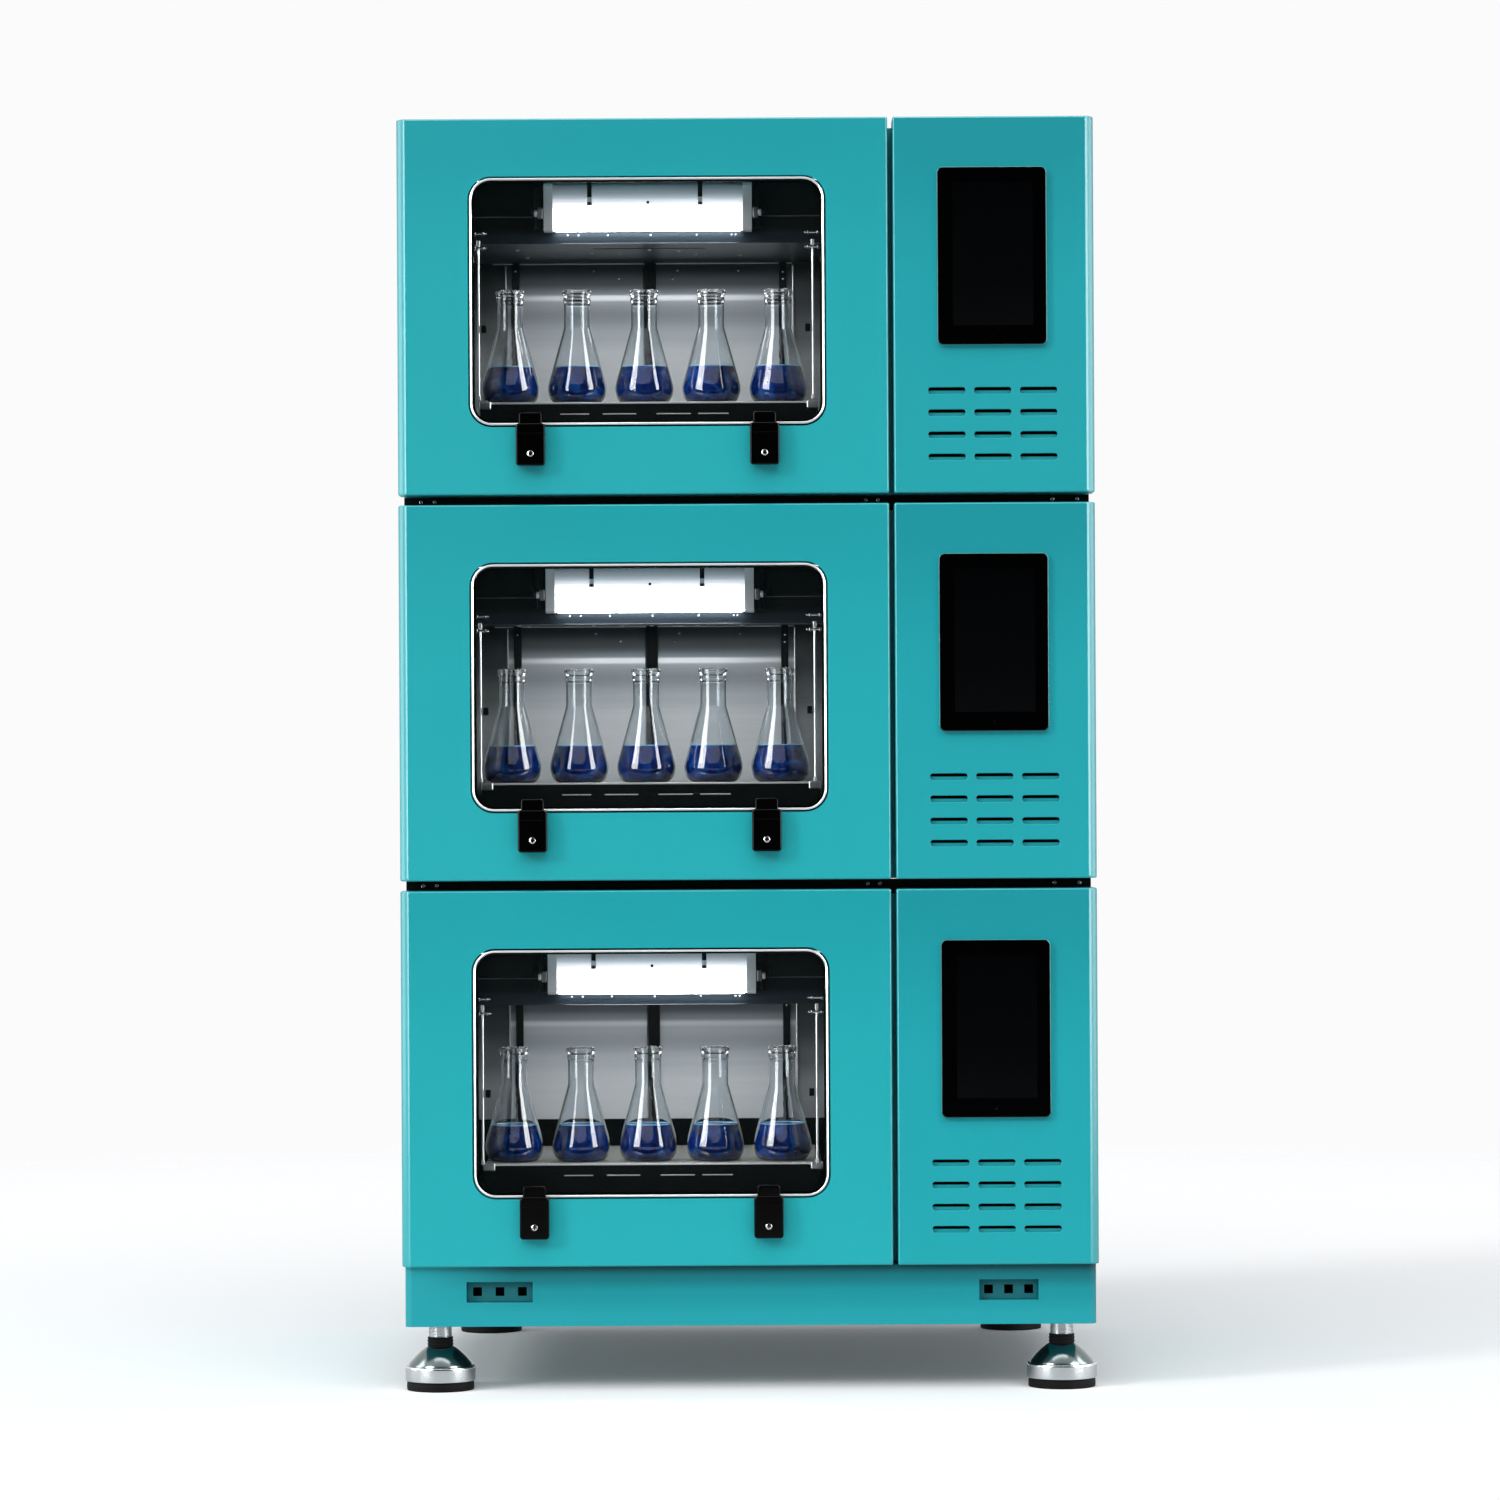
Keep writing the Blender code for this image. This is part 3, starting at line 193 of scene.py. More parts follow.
brighter = node(
    mottle, "ShaderNodeVectorMath", {0: given.outputs["Colour"], "Scale": lift}, operation="SCALE"
).outputs[0]
mottle.links.new(brighter, result.inputs["Colour"])
mottle.links.new(
    math_node(mottle, "MULTIPLY_ADD", swing, given.outputs["Roughness drift"], given.outputs["Roughness"]),
    result.inputs["Roughness"],
)
waves = math_node(mottle, "MULTIPLY", drift, 0.2)
mottle.links.new(math_node(mottle, "MULTIPLY_ADD", pits, 0.8, waves), result.inputs["Height"])

# Long fine scratches in one direction: rolled, brushed and drawn metal.
grain, given, result = effect(
    "brushed grain",
    [
        ("Colour", COLOUR, (0.6, 0.6, 0.6, 1.0)), ("Stretch", ARROW, (4.0, 400.0, 400.0)),
        ("Contrast", VALUE, 0.12), ("Roughness", VALUE, 0.3),
    ],
    SURFACE,
)
place = node(grain, "ShaderNodeTexCoord").outputs["Object"]
stretched = node(
    grain, "ShaderNodeVectorMath", {0: place, 1: given.outputs["Stretch"]}, operation="MULTIPLY"
).outputs[0]
lines = node(grain, "ShaderNodeTexNoise", {"Vector": stretched, "Scale": 1.0, "Detail": 3.0}).outputs[0]
swing = math_node(grain, "MULTIPLY_ADD", lines, 2.0, -1.0)
lift = math_node(grain, "MULTIPLY_ADD", swing, given.outputs["Contrast"], 1.0)
brighter = node(
    grain, "ShaderNodeVectorMath", {0: given.outputs["Colour"], "Scale": lift}, operation="SCALE"
).outputs[0]
grain.links.new(brighter, result.inputs["Colour"])
grain.links.new(
    math_node(grain, "MULTIPLY_ADD", swing, given.outputs["Contrast"], given.outputs["Roughness"]),
    result.inputs["Roughness"],
)
grain.links.new(lines, result.inputs["Height"])

# Height above the floor of the cabinet a point belongs to, as a share of its height.
level, given, result = effect("height in the unit", [("Offset", VALUE, 0.0)], [("Share", VALUE)])
place = node(level, "ShaderNodeTexCoord").outputs["Object"]
upright = node(level, "ShaderNodeSeparateXYZ", {0: place}).outputs[2]
above = math_node(level, "ADD", math_node(level, "SUBTRACT", upright, corner.z), given.outputs["Offset"])
within = math_node(level, "FLOORED_MODULO", above, unit_pitch)
level.links.new(math_node(level, "DIVIDE", within, unit_height), result.inputs["Share"])
print("effects:", mottle.name, grain.name, level.name, sep=" | ")


# %% [markdown]
# ## Finishes
# A finish is one Principled shader with an effect in front of it. Values that are the same
# all over stay on the shader's own sockets, and only what varies is linked.


# %% Making a finish
finishes = {}


def use(tree, group, **values):
    """Places an effect group in a material with its own values."""
    made = tree.nodes.new("ShaderNodeGroup")
    made.node_tree = group
    for label, value in values.items():
        socket = made.inputs[label.replace("_", " ").capitalize()]
        if isinstance(value, bpy.types.NodeSocket):
            tree.links.new(value, socket)
        else:
            socket.default_value = value
    return made


def finish(
    name, group=None, tint=None, bump=0.0, bump_depth=0.0002, shader_values=None, glow=None, **values
):
    """A material named for what it covers. tint may be a colour, or a function of the node tree.

    glow is a function too: the light the surface gives off, where that changes over it.
    """
    made = bpy.data.materials.new(name)
    made.use_nodes = True
    tree = made.node_tree
    shader = tree.nodes["Principled BSDF"]
    for label, value in (shader_values or {}).items():
        shader.inputs[label].default_value = value
    colour_in = tint(tree) if callable(tint) else tint
    surface = use(tree, group or mottle, colour=colour_in, **values)
    tree.links.new(surface.outputs["Colour"], shader.inputs["Base Color"])
    tree.links.new(surface.outputs["Roughness"], shader.inputs["Roughness"])
    if bump:
        relief = {"Strength": bump, "Distance": bump_depth, "Height": surface.outputs["Height"]}
        tree.links.new(node(tree, "ShaderNodeBump", relief).outputs[0], shader.inputs["Normal"])
    if glow:
        tree.links.new(glow(tree), shader.inputs["Emission Color"])
        shader.inputs["Emission Strength"].default_value = 1.0
    finishes[name] = made
    return made


def by_height(*stops):
    """Colours that change with the height in the unit: (share, red, green, blue)."""

    def build(tree):
        share = use(tree, level).outputs["Share"]
        return ramp(tree, share, [(at, colour(red, green, blue)) for at, red, green, blue in stops])

    return build


# %% Enamel, in the tones of the front
enamel_values = {"Coat Weight": 0.04, "Coat Roughness": 0.2, "Specular IOR Level": 0.2}
edge_values = {"Coat Weight": 0.6, "Coat Roughness": 0.18, "Specular IOR Level": 0.3}
# Door, fascia and edge enamels darken toward the top of each cabinet: painted shade, for light that falls off
# upward.
finish(
    "door enamel", tint=by_height((0.0, 28, 174, 182), (0.5, 24, 172, 180), (1.0, 14, 163, 172)), drift=0.02,
    drift_size=5.0, roughness=0.42, roughness_drift=0.03, bump=0.06, pit_size=900.0,
    shader_values=enamel_values,
)
finish(
    "fascia enamel", tint=by_height((0.0, 24, 168, 177), (0.5, 20, 166, 176), (1.0, 8, 152, 162)), drift=0.02,
    drift_size=5.0, roughness=0.42, roughness_drift=0.03, bump=0.06, pit_size=900.0,
    shader_values=enamel_values,
)
finish(
    "enamel on the edges", tint=by_height((0.0, 30, 174, 182), (0.5, 28, 172, 180), (1.0, 24, 166, 175)),
    drift=0.02, drift_size=5.0, roughness=0.36, roughness_drift=0.03, bump=0.04, pit_size=900.0,
    shader_values=edge_values,
)
finish(
    "cabinet enamel", tint=colour(24, 158, 166), drift=0.05, drift_size=4.0, roughness=0.5,
    roughness_drift=0.06, bump=0.25, pit_size=1100.0,
    shader_values={"Coat Weight": 0.15, "Coat Roughness": 0.35},
)


def plinth_shade(tree):
    """Deeper under the overhanging door, except near the left corner, where the light reaches."""
    place = node(tree, "ShaderNodeTexCoord").outputs["Object"]
    apart = node(tree, "ShaderNodeSeparateXYZ", {0: place})
    low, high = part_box("plinth")
    up = node(tree, "ShaderNodeMapRange", {0: apart.outputs[2], 1: low.z, 2: high.z}).outputs[0]
    along = node(
        tree, "ShaderNodeMapRange", {0: apart.outputs[0], 1: low.x + 0.02, 2: low.x + 0.14},
    ).outputs[0]
    open_tone = colour(24, 162, 172)
    deepening = [
        (0.1, open_tone), (0.55, colour(8, 148, 158)), (0.8, colour(0, 120, 129)), (1.0, colour(0, 84, 92)),
    ]
    shaded = ramp(tree, up, deepening)
    return mix_colour(tree, along, open_tone, shaded)


finish(
    "plinth enamel", tint=plinth_shade, drift=0.03, drift_size=4.0, roughness=0.45, roughness_drift=0.05,
    bump=0.12, pit_size=1000.0, shader_values=enamel_values,
)
# The niche plates are a deeper teal than the front: painted shade for a recess the light does not reach.
finish(
    "niche enamel in painted shade", tint=colour(8, 108, 116), drift=0.08, drift_size=60.0, roughness=0.6, bump=0.2,
    shader_values={"Specular IOR Level": 0.2},
)

# %% Metals
metal = {"Metallic": 1.0}
finish(
    "polished trim", grain, colour(248, 250, 252), stretch=(30.0, 300.0, 30.0), contrast=0.03, roughness=0.20,
    shader_values={"Metallic": 0.6},
)
finish(
    "brushed steel", grain, colour(205, 208, 211), stretch=(6.0, 500.0, 500.0), contrast=0.10, roughness=0.30,
    bump=0.08, shader_values=metal,
)
finish(
    "turned steel", grain, colour(214, 217, 219), stretch=(60.0, 60.0, 900.0), contrast=0.07, roughness=0.20,
    bump=0.10, shader_values=metal,
)
finish(
    "cast aluminium", tint=colour(168, 171, 174), drift=0.08, drift_size=40.0, pit_size=600.0, roughness=0.48,
    bump=0.5, shader_values=metal,
)
# The liner's tone is painted light and shade: dark at the floor and high up, with a bright band at mid-height
# where the lamp light falls.
finish(
    "chamber steel in painted light and shade", grain,
    by_height(
        (0.0, 16, 18, 20), (0.22, 24, 27, 29), (0.28, 150, 155, 158), (0.42, 158, 163, 166),
        (0.50, 112, 118, 120), (0.60, 64, 70, 73), (0.70, 24, 28, 30), (1.0, 12, 15, 17),
    ),
    stretch=(5.0, 400.0, 400.0), contrast=0.12, roughness=0.36, bump=0.05, shader_values={"Metallic": 0.2},
)


def painted_lamp_reflection(tree):
    """A painted reflection of the lamp: a soft glowing line on the wall of the two upper cabinets, seen from
    below.
    """
    share = use(tree, level).outputs["Share"]
    peak = [
        (0.560, 0, 0, 0), (0.580, 30, 33, 35), (0.594, 92, 98, 102), (0.602, 184, 190, 194),
        (0.607, 186, 192, 196), (0.614, 70, 76, 80), (0.630, 0, 0, 0),
    ]
    line = ramp(tree, share, [(at, colour(*tone)) for at, *tone in peak], smooth=False)
    place = node(tree, "ShaderNodeTexCoord").outputs["Object"]
    apart = node(tree, "ShaderNodeSeparateXYZ", {0: place})
    upper = math_node(tree, "GREATER_THAN", apart.outputs[2], corner.z + 0.9 * unit_pitch)
    from_middle = math_node(tree, "ABSOLUTE", math_node(tree, "ADD", apart.outputs[0], -window_x))
    fade = node(tree, "ShaderNodeMapRange", {0: from_middle, 1: 0.08, 2: 0.19, 3: 1.0, 4: 0.1}).outputs[0]
    return mix_colour(tree, math_node(tree, "MULTIPLY", upper, fade), colour(0, 0, 0), line)


# The back sheets carry painted light and shade: bright low down, a bright line where the lamp is mirrored,
# darker toward the top, with the painted lamp reflection as their glow.
finish(
    "back wall steel", grain,
    by_height(
        (0.20, 224, 230, 234), (0.44, 228, 234, 238), (0.50, 206, 214, 220), (0.555, 168, 178, 185),
        (0.590, 190, 198, 204), (0.604, 236, 242, 246), (0.618, 150, 162, 170), (0.645, 96, 106, 114),
        (0.690, 48, 58, 65),
    ),
    stretch=(3.0, 500.0, 260.0), contrast=0.07, roughness=0.42, bump=0.04, glow=painted_lamp_reflection,
)
# Painted light and shade: the plenum is paler low down near the lamp and darker toward the ceiling.
finish(
    "plenum underside", grain,
    by_height((0.68, 44, 55, 64), (0.705, 40, 50, 59), (0.735, 14, 18, 21), (1.0, 8, 10, 12)),
    stretch=(5.0, 300.0, 300.0), contrast=0.12, roughness=0.34, bump=0.05,
    shader_values={"Metallic": 0.7},
)
finish(
    "motor casing", tint=colour(88, 92, 96), drift=0.08, drift_size=30.0, roughness=0.5, bump=0.4,
    shader_values={"Metallic": 0.5},
)

# %% Plastics, rubber and the screen
finish(
    "latch black", tint=colour(2, 2, 2), drift=0.2, drift_size=40.0, roughness=0.14, roughness_drift=0.04,
    bump=0.04, shader_values={"Specular IOR Level": 0.12},
)
finish(
    "foot cone", tint=colour(118, 128, 128), drift=0.1, drift_size=20.0, roughness=0.16, roughness_drift=0.04,
    bump=0.03, shader_values={"Metallic": 1.0},
)
finish(
    "satin black", tint=colour(3, 4, 4), drift=0.2, drift_size=20.0, roughness=0.38, bump=0.2,
    shader_values={"Specular IOR Level": 0.12},
)
finish(
    "matt black", tint=colour(2, 2, 3), drift=0.2, drift_size=30.0, roughness=0.9, bump=0.2,
    shader_values={"Specular IOR Level": 0.0},
)
finish(
    "black rubber", tint=colour(6, 6, 7), drift=0.15, drift_size=60.0, pit_size=900.0, roughness=0.72,
    bump=0.5, shader_values={"Specular IOR Level": 0.15},
)
finish(
    "grip mat", tint=colour(132, 134, 130), drift=0.40, drift_size=260.0, pit_size=900.0, roughness=0.85,
    bump=0.9, bump_depth=0.0006,
)
finish(
    "screen border", tint=colour(1, 1, 1), drift=0.1, drift_size=10.0, roughness=0.12, roughness_drift=0.02,
    shader_values={"Specular IOR Level": 0.12},
)
# Painted reflection: the picture area is a little paler toward its bottom.
finish(
    "screen picture area", tint=by_height((0.42, 9, 10, 12), (0.60, 5, 6, 8), (0.85, 2, 3, 4)), drift=0.1,
    drift_size=14.0, roughness=0.10, roughness_drift=0.02, shader_values={"Specular IOR Level": 0.14},
)
finish(
    "screen rim", tint=colour(70, 150, 152), drift=0.05, drift_size=30.0, roughness=0.25,
    shader_values={"Metallic": 0.4},
)
finish("cable black", tint=colour(20, 21, 23), drift=0.2, drift_size=90.0, roughness=0.5, bump=0.3)
print(len(finishes), "finishes so far")

# %% [markdown]
# ## Glass, liquid and light
# The window pane is mostly see-through, so its finish is a faint gloss with low alpha,
# smudged a little. The flasks are true glass. Their liquid is a deep blue that clouds
# slowly, with a paler ring where it climbs the glass. The lamp is a glowing diffuser.

# %% Glass, liquid and light
finish(
    "window pane", tint=colour(60, 80, 82), drift=0.02, drift_size=8.0, roughness=0.05, roughness_drift=0.03,
    shader_values={"Alpha": 0.02, "Specular IOR Level": 0.5},
)
finish(
    "flask glass", tint=colour(244, 248, 250), drift=0.01, drift_size=20.0, roughness=0.0,
    roughness_drift=0.0, shader_values={"Transmission Weight": 1.0, "IOR": 1.47, "Specular IOR Level": 0.6},
)


def clouded_blue(tree):
    point = node(tree, "ShaderNodeTexCoord").outputs["Object"]
    clouds = node(
        tree, "ShaderNodeTexNoise", {"Vector": point, "Scale": 55.0, "Detail": 5.0, "Distortion": 1.2}
    ).outputs[0]
    deep, mid, pale = colour(0, 14, 66), colour(0, 30, 96), colour(4, 60, 134)
    return ramp(tree, clouds, [(0.36, deep), (0.52, mid), (0.68, pale)])


finish(
    "blue culture", tint=clouded_blue, drift=0.05, drift_size=30.0, roughness=0.12, roughness_drift=0.02,
    shader_values={"Specular IOR Level": 0.04},
)
finish(
    "liquid edge", tint=colour(112, 186, 232), drift=0.2, drift_size=70.0, roughness=0.2,
    shader_values={"Coat Weight": 0.3},
)
finish(
    "lamp diffuser", tint=colour(250, 252, 255), drift=0.01, drift_size=5.0, roughness=0.5,
    shader_values={"Emission Color": colour(252, 253, 255), "Emission Strength": 25.0},
)
# The housing is painted: its tone falls into painted shade toward the top, and a painted glow near its lower
# edge stands for the diffuser's light on it.
finish(
    "lamp housing", grain,
    by_height((0.785, 240, 236, 238), (0.798, 204, 196, 199), (0.820, 162, 152, 156), (0.848, 100, 94, 100)),
    stretch=(4.0, 300.0, 120.0), contrast=0.05, roughness=0.34, glow=by_height(
        (0.7875, 230, 236, 242), (0.798, 179, 188, 196), (0.809, 121, 132, 140), (0.820, 82, 92, 100),
        (0.8305, 49, 58, 64), (0.845, 0, 0, 0),
    ),
)
finish("lamp end cap", tint=colour(188, 192, 196), drift=0.06, drift_size=40.0, roughness=0.4, bump=0.1)
print(len(finishes), "finishes")

# %% [markdown]
# ## Shapes from a few operators
# Almost everything here is sheet, bar or turned stock. Four starting shapes cover them:
# a block, a rod, a spun outline and a loft, which is a row of rounded rectangles bridged
# one to the next. A loft gives frames and panels clean quads and true round edges.


# %% Starting shapes
def block(one, other, ease=0.0, steps=3):
    """A block between two opposite corners, with all its edges eased."""
    low, high = [Vector([pick(pair) for pair in zip(one, other)]) for pick in (min, max)]
    bm = bmesh.new()
    bmesh.ops.create_cube(bm, size=1)
    bmesh.ops.scale(bm, vec=high - low, verts=bm.verts)
    bmesh.ops.translate(bm, vec=(low + high) / 2, verts=bm.verts)
    if ease:
        bmesh.ops.bevel(
            bm, geom=bm.edges[:], offset=ease, segments=steps, profile=0.5, affect="EDGES", material=-1
        )
    return bm


def rod(start, end, radius, sides=20, ease=0.0):
    """A round bar from one point to another."""
    start, end = Vector(start), Vector(end)
    length = (end - start).length
    bm = bmesh.new()
    bmesh.ops.create_cone(
        bm, cap_ends=True, segments=sides, radius1=radius, radius2=radius, depth=length
    )
    if ease:
        ends = [
            edge for edge in bm.edges
            if abs(abs(edge.verts[0].co.z + edge.verts[1].co.z) - length) < 1e-6
        ]
        bmesh.ops.bevel(bm, geom=ends, offset=ease, segments=2, profile=0.5, affect="EDGES", material=-1)
    turn = (end - start).to_track_quat("Z", "Y").to_matrix()
    bmesh.ops.rotate(bm, matrix=turn, verts=bm.verts)
    bmesh.ops.translate(bm, vec=(start + end) / 2, verts=bm.verts)
    return bm


def spun(outline, centre=(0, 0, 0), axis=(0, 0, 1), steps=48):
    """Spins (radius, height) points round an axis through centre."""
    bm = bmesh.new()
    verts = [bm.verts.new((radius, 0, height)) for radius, height in outline]
    edges = [bm.edges.new(pair) for pair in zip(verts, verts[1:])]
    bmesh.ops.spin(
        bm, geom=verts + edges, cent=(0, 0, 0), axis=(0, 0, 1), angle=2 * math.pi, steps=steps, use_merge=True
    )
    bmesh.ops.remove_doubles(bm, verts=bm.verts, dist=1e-6)
    bmesh.ops.recalc_face_normals(bm, faces=bm.faces)
    turn = Vector(axis).to_track_quat("Z", "Y").to_matrix()
    bmesh.ops.rotate(bm, matrix=turn, verts=bm.verts)
    bmesh.ops.translate(bm, vec=centre, verts=bm.verts)
    return bm


def rounded_loop(bm, left, right, low, high, radius, depth, steps=8):
    """One upright rounded rectangle at a depth, as a loop of edges."""
    before = set(bm.edges)
    spots = ((left, low), (right, low), (right, high), (left, high))
    corners = [bm.verts.new((x, depth, z)) for x, z in spots]
    bm.faces.new(corners)
    if radius:
        bmesh.ops.bevel(
            bm, geom=corners, offset=radius, segments=steps, profile=0.5, affect="VERTICES", material=-1
        )
    loop = [edge for edge in bm.edges if edge not in before]
    bmesh.ops.delete(bm, geom=[loop[0].link_faces[0]], context="FACES_ONLY")
    return loop


def inset_loop(low, high, radius, inset, depth):
    """A station for a loft: the rounded rectangle between two corners, drawn in by an inset."""
    return (low.x + inset, high.x - inset, low.z + inset, high.z - inset, radius - inset, depth)


def loft(stations, closed=False, steps=8, marks=()):
    """Bridges rounded rectangles (left, right, low, high, radius, depth) into one skin.

    The loops are bridged well apart, because loops in one plane confuse the bridge, and
    then drawn back to their own depths. marks gives the material index of each band, and
    then of the two end caps.
    """
    bm = bmesh.new()
    apart = 0.05
    loops = [
        rounded_loop(bm, *station[:5], place * apart, steps=steps)
        for place, station in enumerate(stations)
    ]
    rings = [{vert for edge in loop for vert in edge.verts} for loop in loops]
    pairs = list(zip(loops, loops[1:]))
    if closed:
        pairs.append((loops[-1], loops[0]))
    index = dict(enumerate(marks))
    for band, (one, other) in enumerate(pairs):
        bridged = bmesh.ops.bridge_loops(bm, edges=one + other)
        for face in bridged["faces"]:
            face.material_index = index.get(band, 0)
    if not closed:
        for cap, loop in enumerate((loops[0], loops[-1])):
            filled = bmesh.ops.edgeloop_fill(bm, edges=loop)
            for face in filled["faces"]:
                face.material_index = index.get(len(pairs) + cap, 0)
    for ring, station in zip(rings, stations):
        for vert in ring:
            vert.co.y = station[5]
    bmesh.ops.recalc_face_normals(bm, faces=bm.faces)
    return bm


# %% [markdown]
# ## Putting shapes together
# Pieces are often several bars and plates of one finish, or a part with two finishes.
# Shapes are joined into one mesh, and a number on each face picks its finish. Where a
# pocket really is cut into a part, a Boolean takes it out of the mesh.


# %% Joining, cutting and fitting
def marked(bm, index):
    for face in bm.faces:
        face.material_index = index
    return bm


def joined(*shapes):
    whole = bmesh.new()
    for shape in shapes:
        mesh = bpy.data.meshes.new("joined")
        shape.to_mesh(mesh)
        shape.free()
        whole.from_mesh(mesh)
        bpy.data.meshes.remove(mesh)
    return whole


def held(bm, name):
    mesh = bpy.data.meshes.new(name)
    bm.to_mesh(mesh)
    bm.free()
    obj = bpy.data.objects.new(name, mesh)
    bpy.context.scene.collection.objects.link(obj)
    return obj


def cut(bm, *cutters):
    """Takes the cutters out of a shape."""
    body = held(bm, "body")
    tools = [held(cutter, "cutter") for cutter in cutters]
    for tool in tools:
        modifier = body.modifiers.new("cut", "BOOLEAN")
        modifier.operation, modifier.solver, modifier.object = "DIFFERENCE", "EXACT", tool
    result = bmesh.new()
    result.from_object(body, bpy.context.evaluated_depsgraph_get())
    for obj in [body, *tools]:
        mesh = obj.data
        bpy.data.objects.remove(obj)
        bpy.data.meshes.remove(mesh)
    return result


def ease_edges(obj, width, sharper_than=40):
    """A live bevel on every edge that turns by more than an angle."""
    bevel = obj.modifiers.new("eased edges", "BEVEL")
    bevel.width, bevel.segments, bevel.limit_method = width, 2, "ANGLE"
    bevel.angle_limit, bevel.harden_normals = math.radians(sharper_than), False


def settle_shading(obj):
    shading = obj.modifiers.new("even shading", "WEIGHTED_NORMAL")
    shading.keep_sharp, shading.weight = True, 60


piece_count = 0


def fit(name, bm, finish_names, body, stands_for=(), sharp=35, ease=0.0):
    """Puts one finished piece on a body, with its own materials."""
    global piece_count
    obj = held(bm, name)
    for label in finish_names:
        obj.data.materials.append(finishes[label])
    obj.data.shade_smooth()
    obj.data.set_sharp_from_angle(angle=math.radians(sharp))
    if ease:
        ease_edges(obj, ease)
    settle_shading(obj)
    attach(obj, body)
    if stands_for:
        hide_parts(*stands_for)
    piece_count += 1


def raised(bm, rise):
    """Moves a shape from its place in the lower unit's measure up to a unit."""
    bmesh.ops.translate(bm, vec=corner + Vector((0, 0, rise)), verts=bm.verts)
    return bm


def fit_each(name, bm, finish_names, body, stands_for=(), sharp=35, ease=0.0):
    """Copies a unit's piece to all three units. {u} in a name becomes the unit's own."""
    for unit, rise in zip(units, rises):
        replaced = [f"{unit}_{node_name}" for node_name in stands_for]
        placed = raised(bm.copy(), rise)
        fit(f"{unit}_{name}", placed, finish_names, body.format(u=unit), replaced, sharp, ease)
    print(f"{name}: {len(bm.faces)} faces in each unit")
    bm.free()


# %% [markdown]
# ## The door skin
# Each door is a thick insulated panel. Its left edge is drawn in by a wide soft chamfer
# that catches the light as a pale band, and its other edges are only just eased. The
# window sits in a shallow rebate, with the opening behind it. All of that is one closed
# loft: round the outside, across the front, down into the opening and out at the back.


# %% Door
def roll(depth, radius):
    """How far a soft chamfer has drawn in at a depth behind its face."""
    if depth >= radius:
        return 0.0
    return radius * (1 - (1 - (1 - depth / radius) ** softness) ** (1 / softness))


softness = 1.35
side_round = 0.0115
edge_round = 0.0022
corner_round = 0.0022
quarter = [side_round * (1 - math.sin(math.radians(angle))) for angle in range(0, 91, 6)]
window_radius = 0.028
rebate_gap = 0.0024
rebate_depth = 0.0135
reveal_inset = 0.0050
splay = -0.0015
facing_limit = 0.2


def panel_loops(low, high, depth_to, round_left, round_right):
    """Loops from the back of a front panel round to its face."""
    loops = [
        (low.x + 0.001, high.x - 0.001, low.z + 0.001, high.z - 0.001, corner_round, depth_to),
        (low.x, high.x, low.z, high.z, corner_round, depth_to - 0.001),
    ]
    for depth in quarter:
        small = roll(depth, edge_round)
        left = roll(depth, round_left)
        right = roll(depth, round_right)
        loops.append((low.x + left, high.x - right, low.z + small, high.z - small, corner_round, depth))
    return loops


def mark_edges(bm, low_x, high_x):
    """Gives the outer edges of a front panel, wherever they turn away, a finish of their own."""
    bm.normal_update()
    for face in bm.faces:
        centre = face.calc_center_median()
        outer = min(centre.x - low_x, high_x - centre.x, centre.z, unit_height - centre.z) < side_round
        turned = max(abs(face.normal.x), abs(face.normal.z)) > facing_limit
        if outer and turned and centre.y < side_round:
            face.material_index = 1
    return bm


def window_loop(inset, depth):
    return inset_loop(window_low, window_high, window_radius, inset, depth)


def joint_place(name):
    """Where a joint of the lower unit sits, measured from the unit's own corner."""
    return Vector(next(joint["pos_m"] for joint in frame["joints"] if joint["name"] == name)) - corner


hinge_place = joint_place("lower_door_swing")
hinge_margin = 0.075
hinge_rises = (hinge_margin, unit_height - hinge_margin)
door_corners = Vector((door_low.x, 0, 0)), Vector((door_high.x, 0, unit_height))
door_loops = panel_loops(*door_corners, door_depth, side_round, edge_round)
door_loops += [
    window_loop(-rebate_gap - 0.0007, 0.0),
    window_loop(-rebate_gap - 0.0002, 0.0002),
    window_loop(-rebate_gap, 0.0007),
    window_loop(-rebate_gap, rebate_depth),
    window_loop(reveal_inset, rebate_depth),
    window_loop(splay, door_depth),
]
door = loft(door_loops, closed=True)
knuckle_half, knuckle_room, pin_half, pin_radius, clear = 0.016, 0.0105, 0.026, 0.0048, 0.004
hinge_x, hinge_y = hinge_place.x, hinge_place.y
knuckles = [
    block(
        (door_low.x - clear, hinge_y - knuckle_room, rise - knuckle_half),
        (hinge_x + knuckle_room, door_depth + clear, rise + knuckle_half),
    )
    for rise in hinge_rises
]
pins = [
    rod((hinge_x, hinge_y, rise - pin_half), (hinge_x, hinge_y, rise + pin_half), pin_radius)
    for rise in hinge_rises
]
door = cut(door, joined(*knuckles), joined(*pins))
door = mark_edges(door, door_low.x, door_high.x)
fit_each("door", door, ["door enamel", "enamel on the edges"], "{u}_door", ["door_panel"])

# %% [markdown]
# ## Gasket
# A soft bellows strip round the back of the door closes on the chamber's flange. Its two
# lips and the groove between them are three bends of one loft.

# %% Gasket
gasket_low, gasket_high = solid("door_gasket")
strip, gasket_radius = 0.014, 0.021
near, far = gasket_low.y + 0.0001, gasket_high.y - 0.0001
gasket_profile = (
    (0.0, near), (0.0, near + 0.0022), (0.0012, far - 0.0006), (0.0026, far), (0.0042, far - 0.0008),
    (0.0056, near + 0.0018), (0.0070, near + 0.0013), (0.0084, near + 0.0018), (0.0098, far - 0.0008),
    (0.0114, far), (0.0128, far - 0.0006), (strip, near + 0.0022), (strip, near),
)
gasket = loft(
    [inset_loop(gasket_low, gasket_high, gasket_radius, inset, depth) for inset, depth in gasket_profile],
    closed=True, steps=6,
)
fit_each("gasket", gasket, ["black rubber"], "{u}_door", ["door_gasket"], sharp=60)

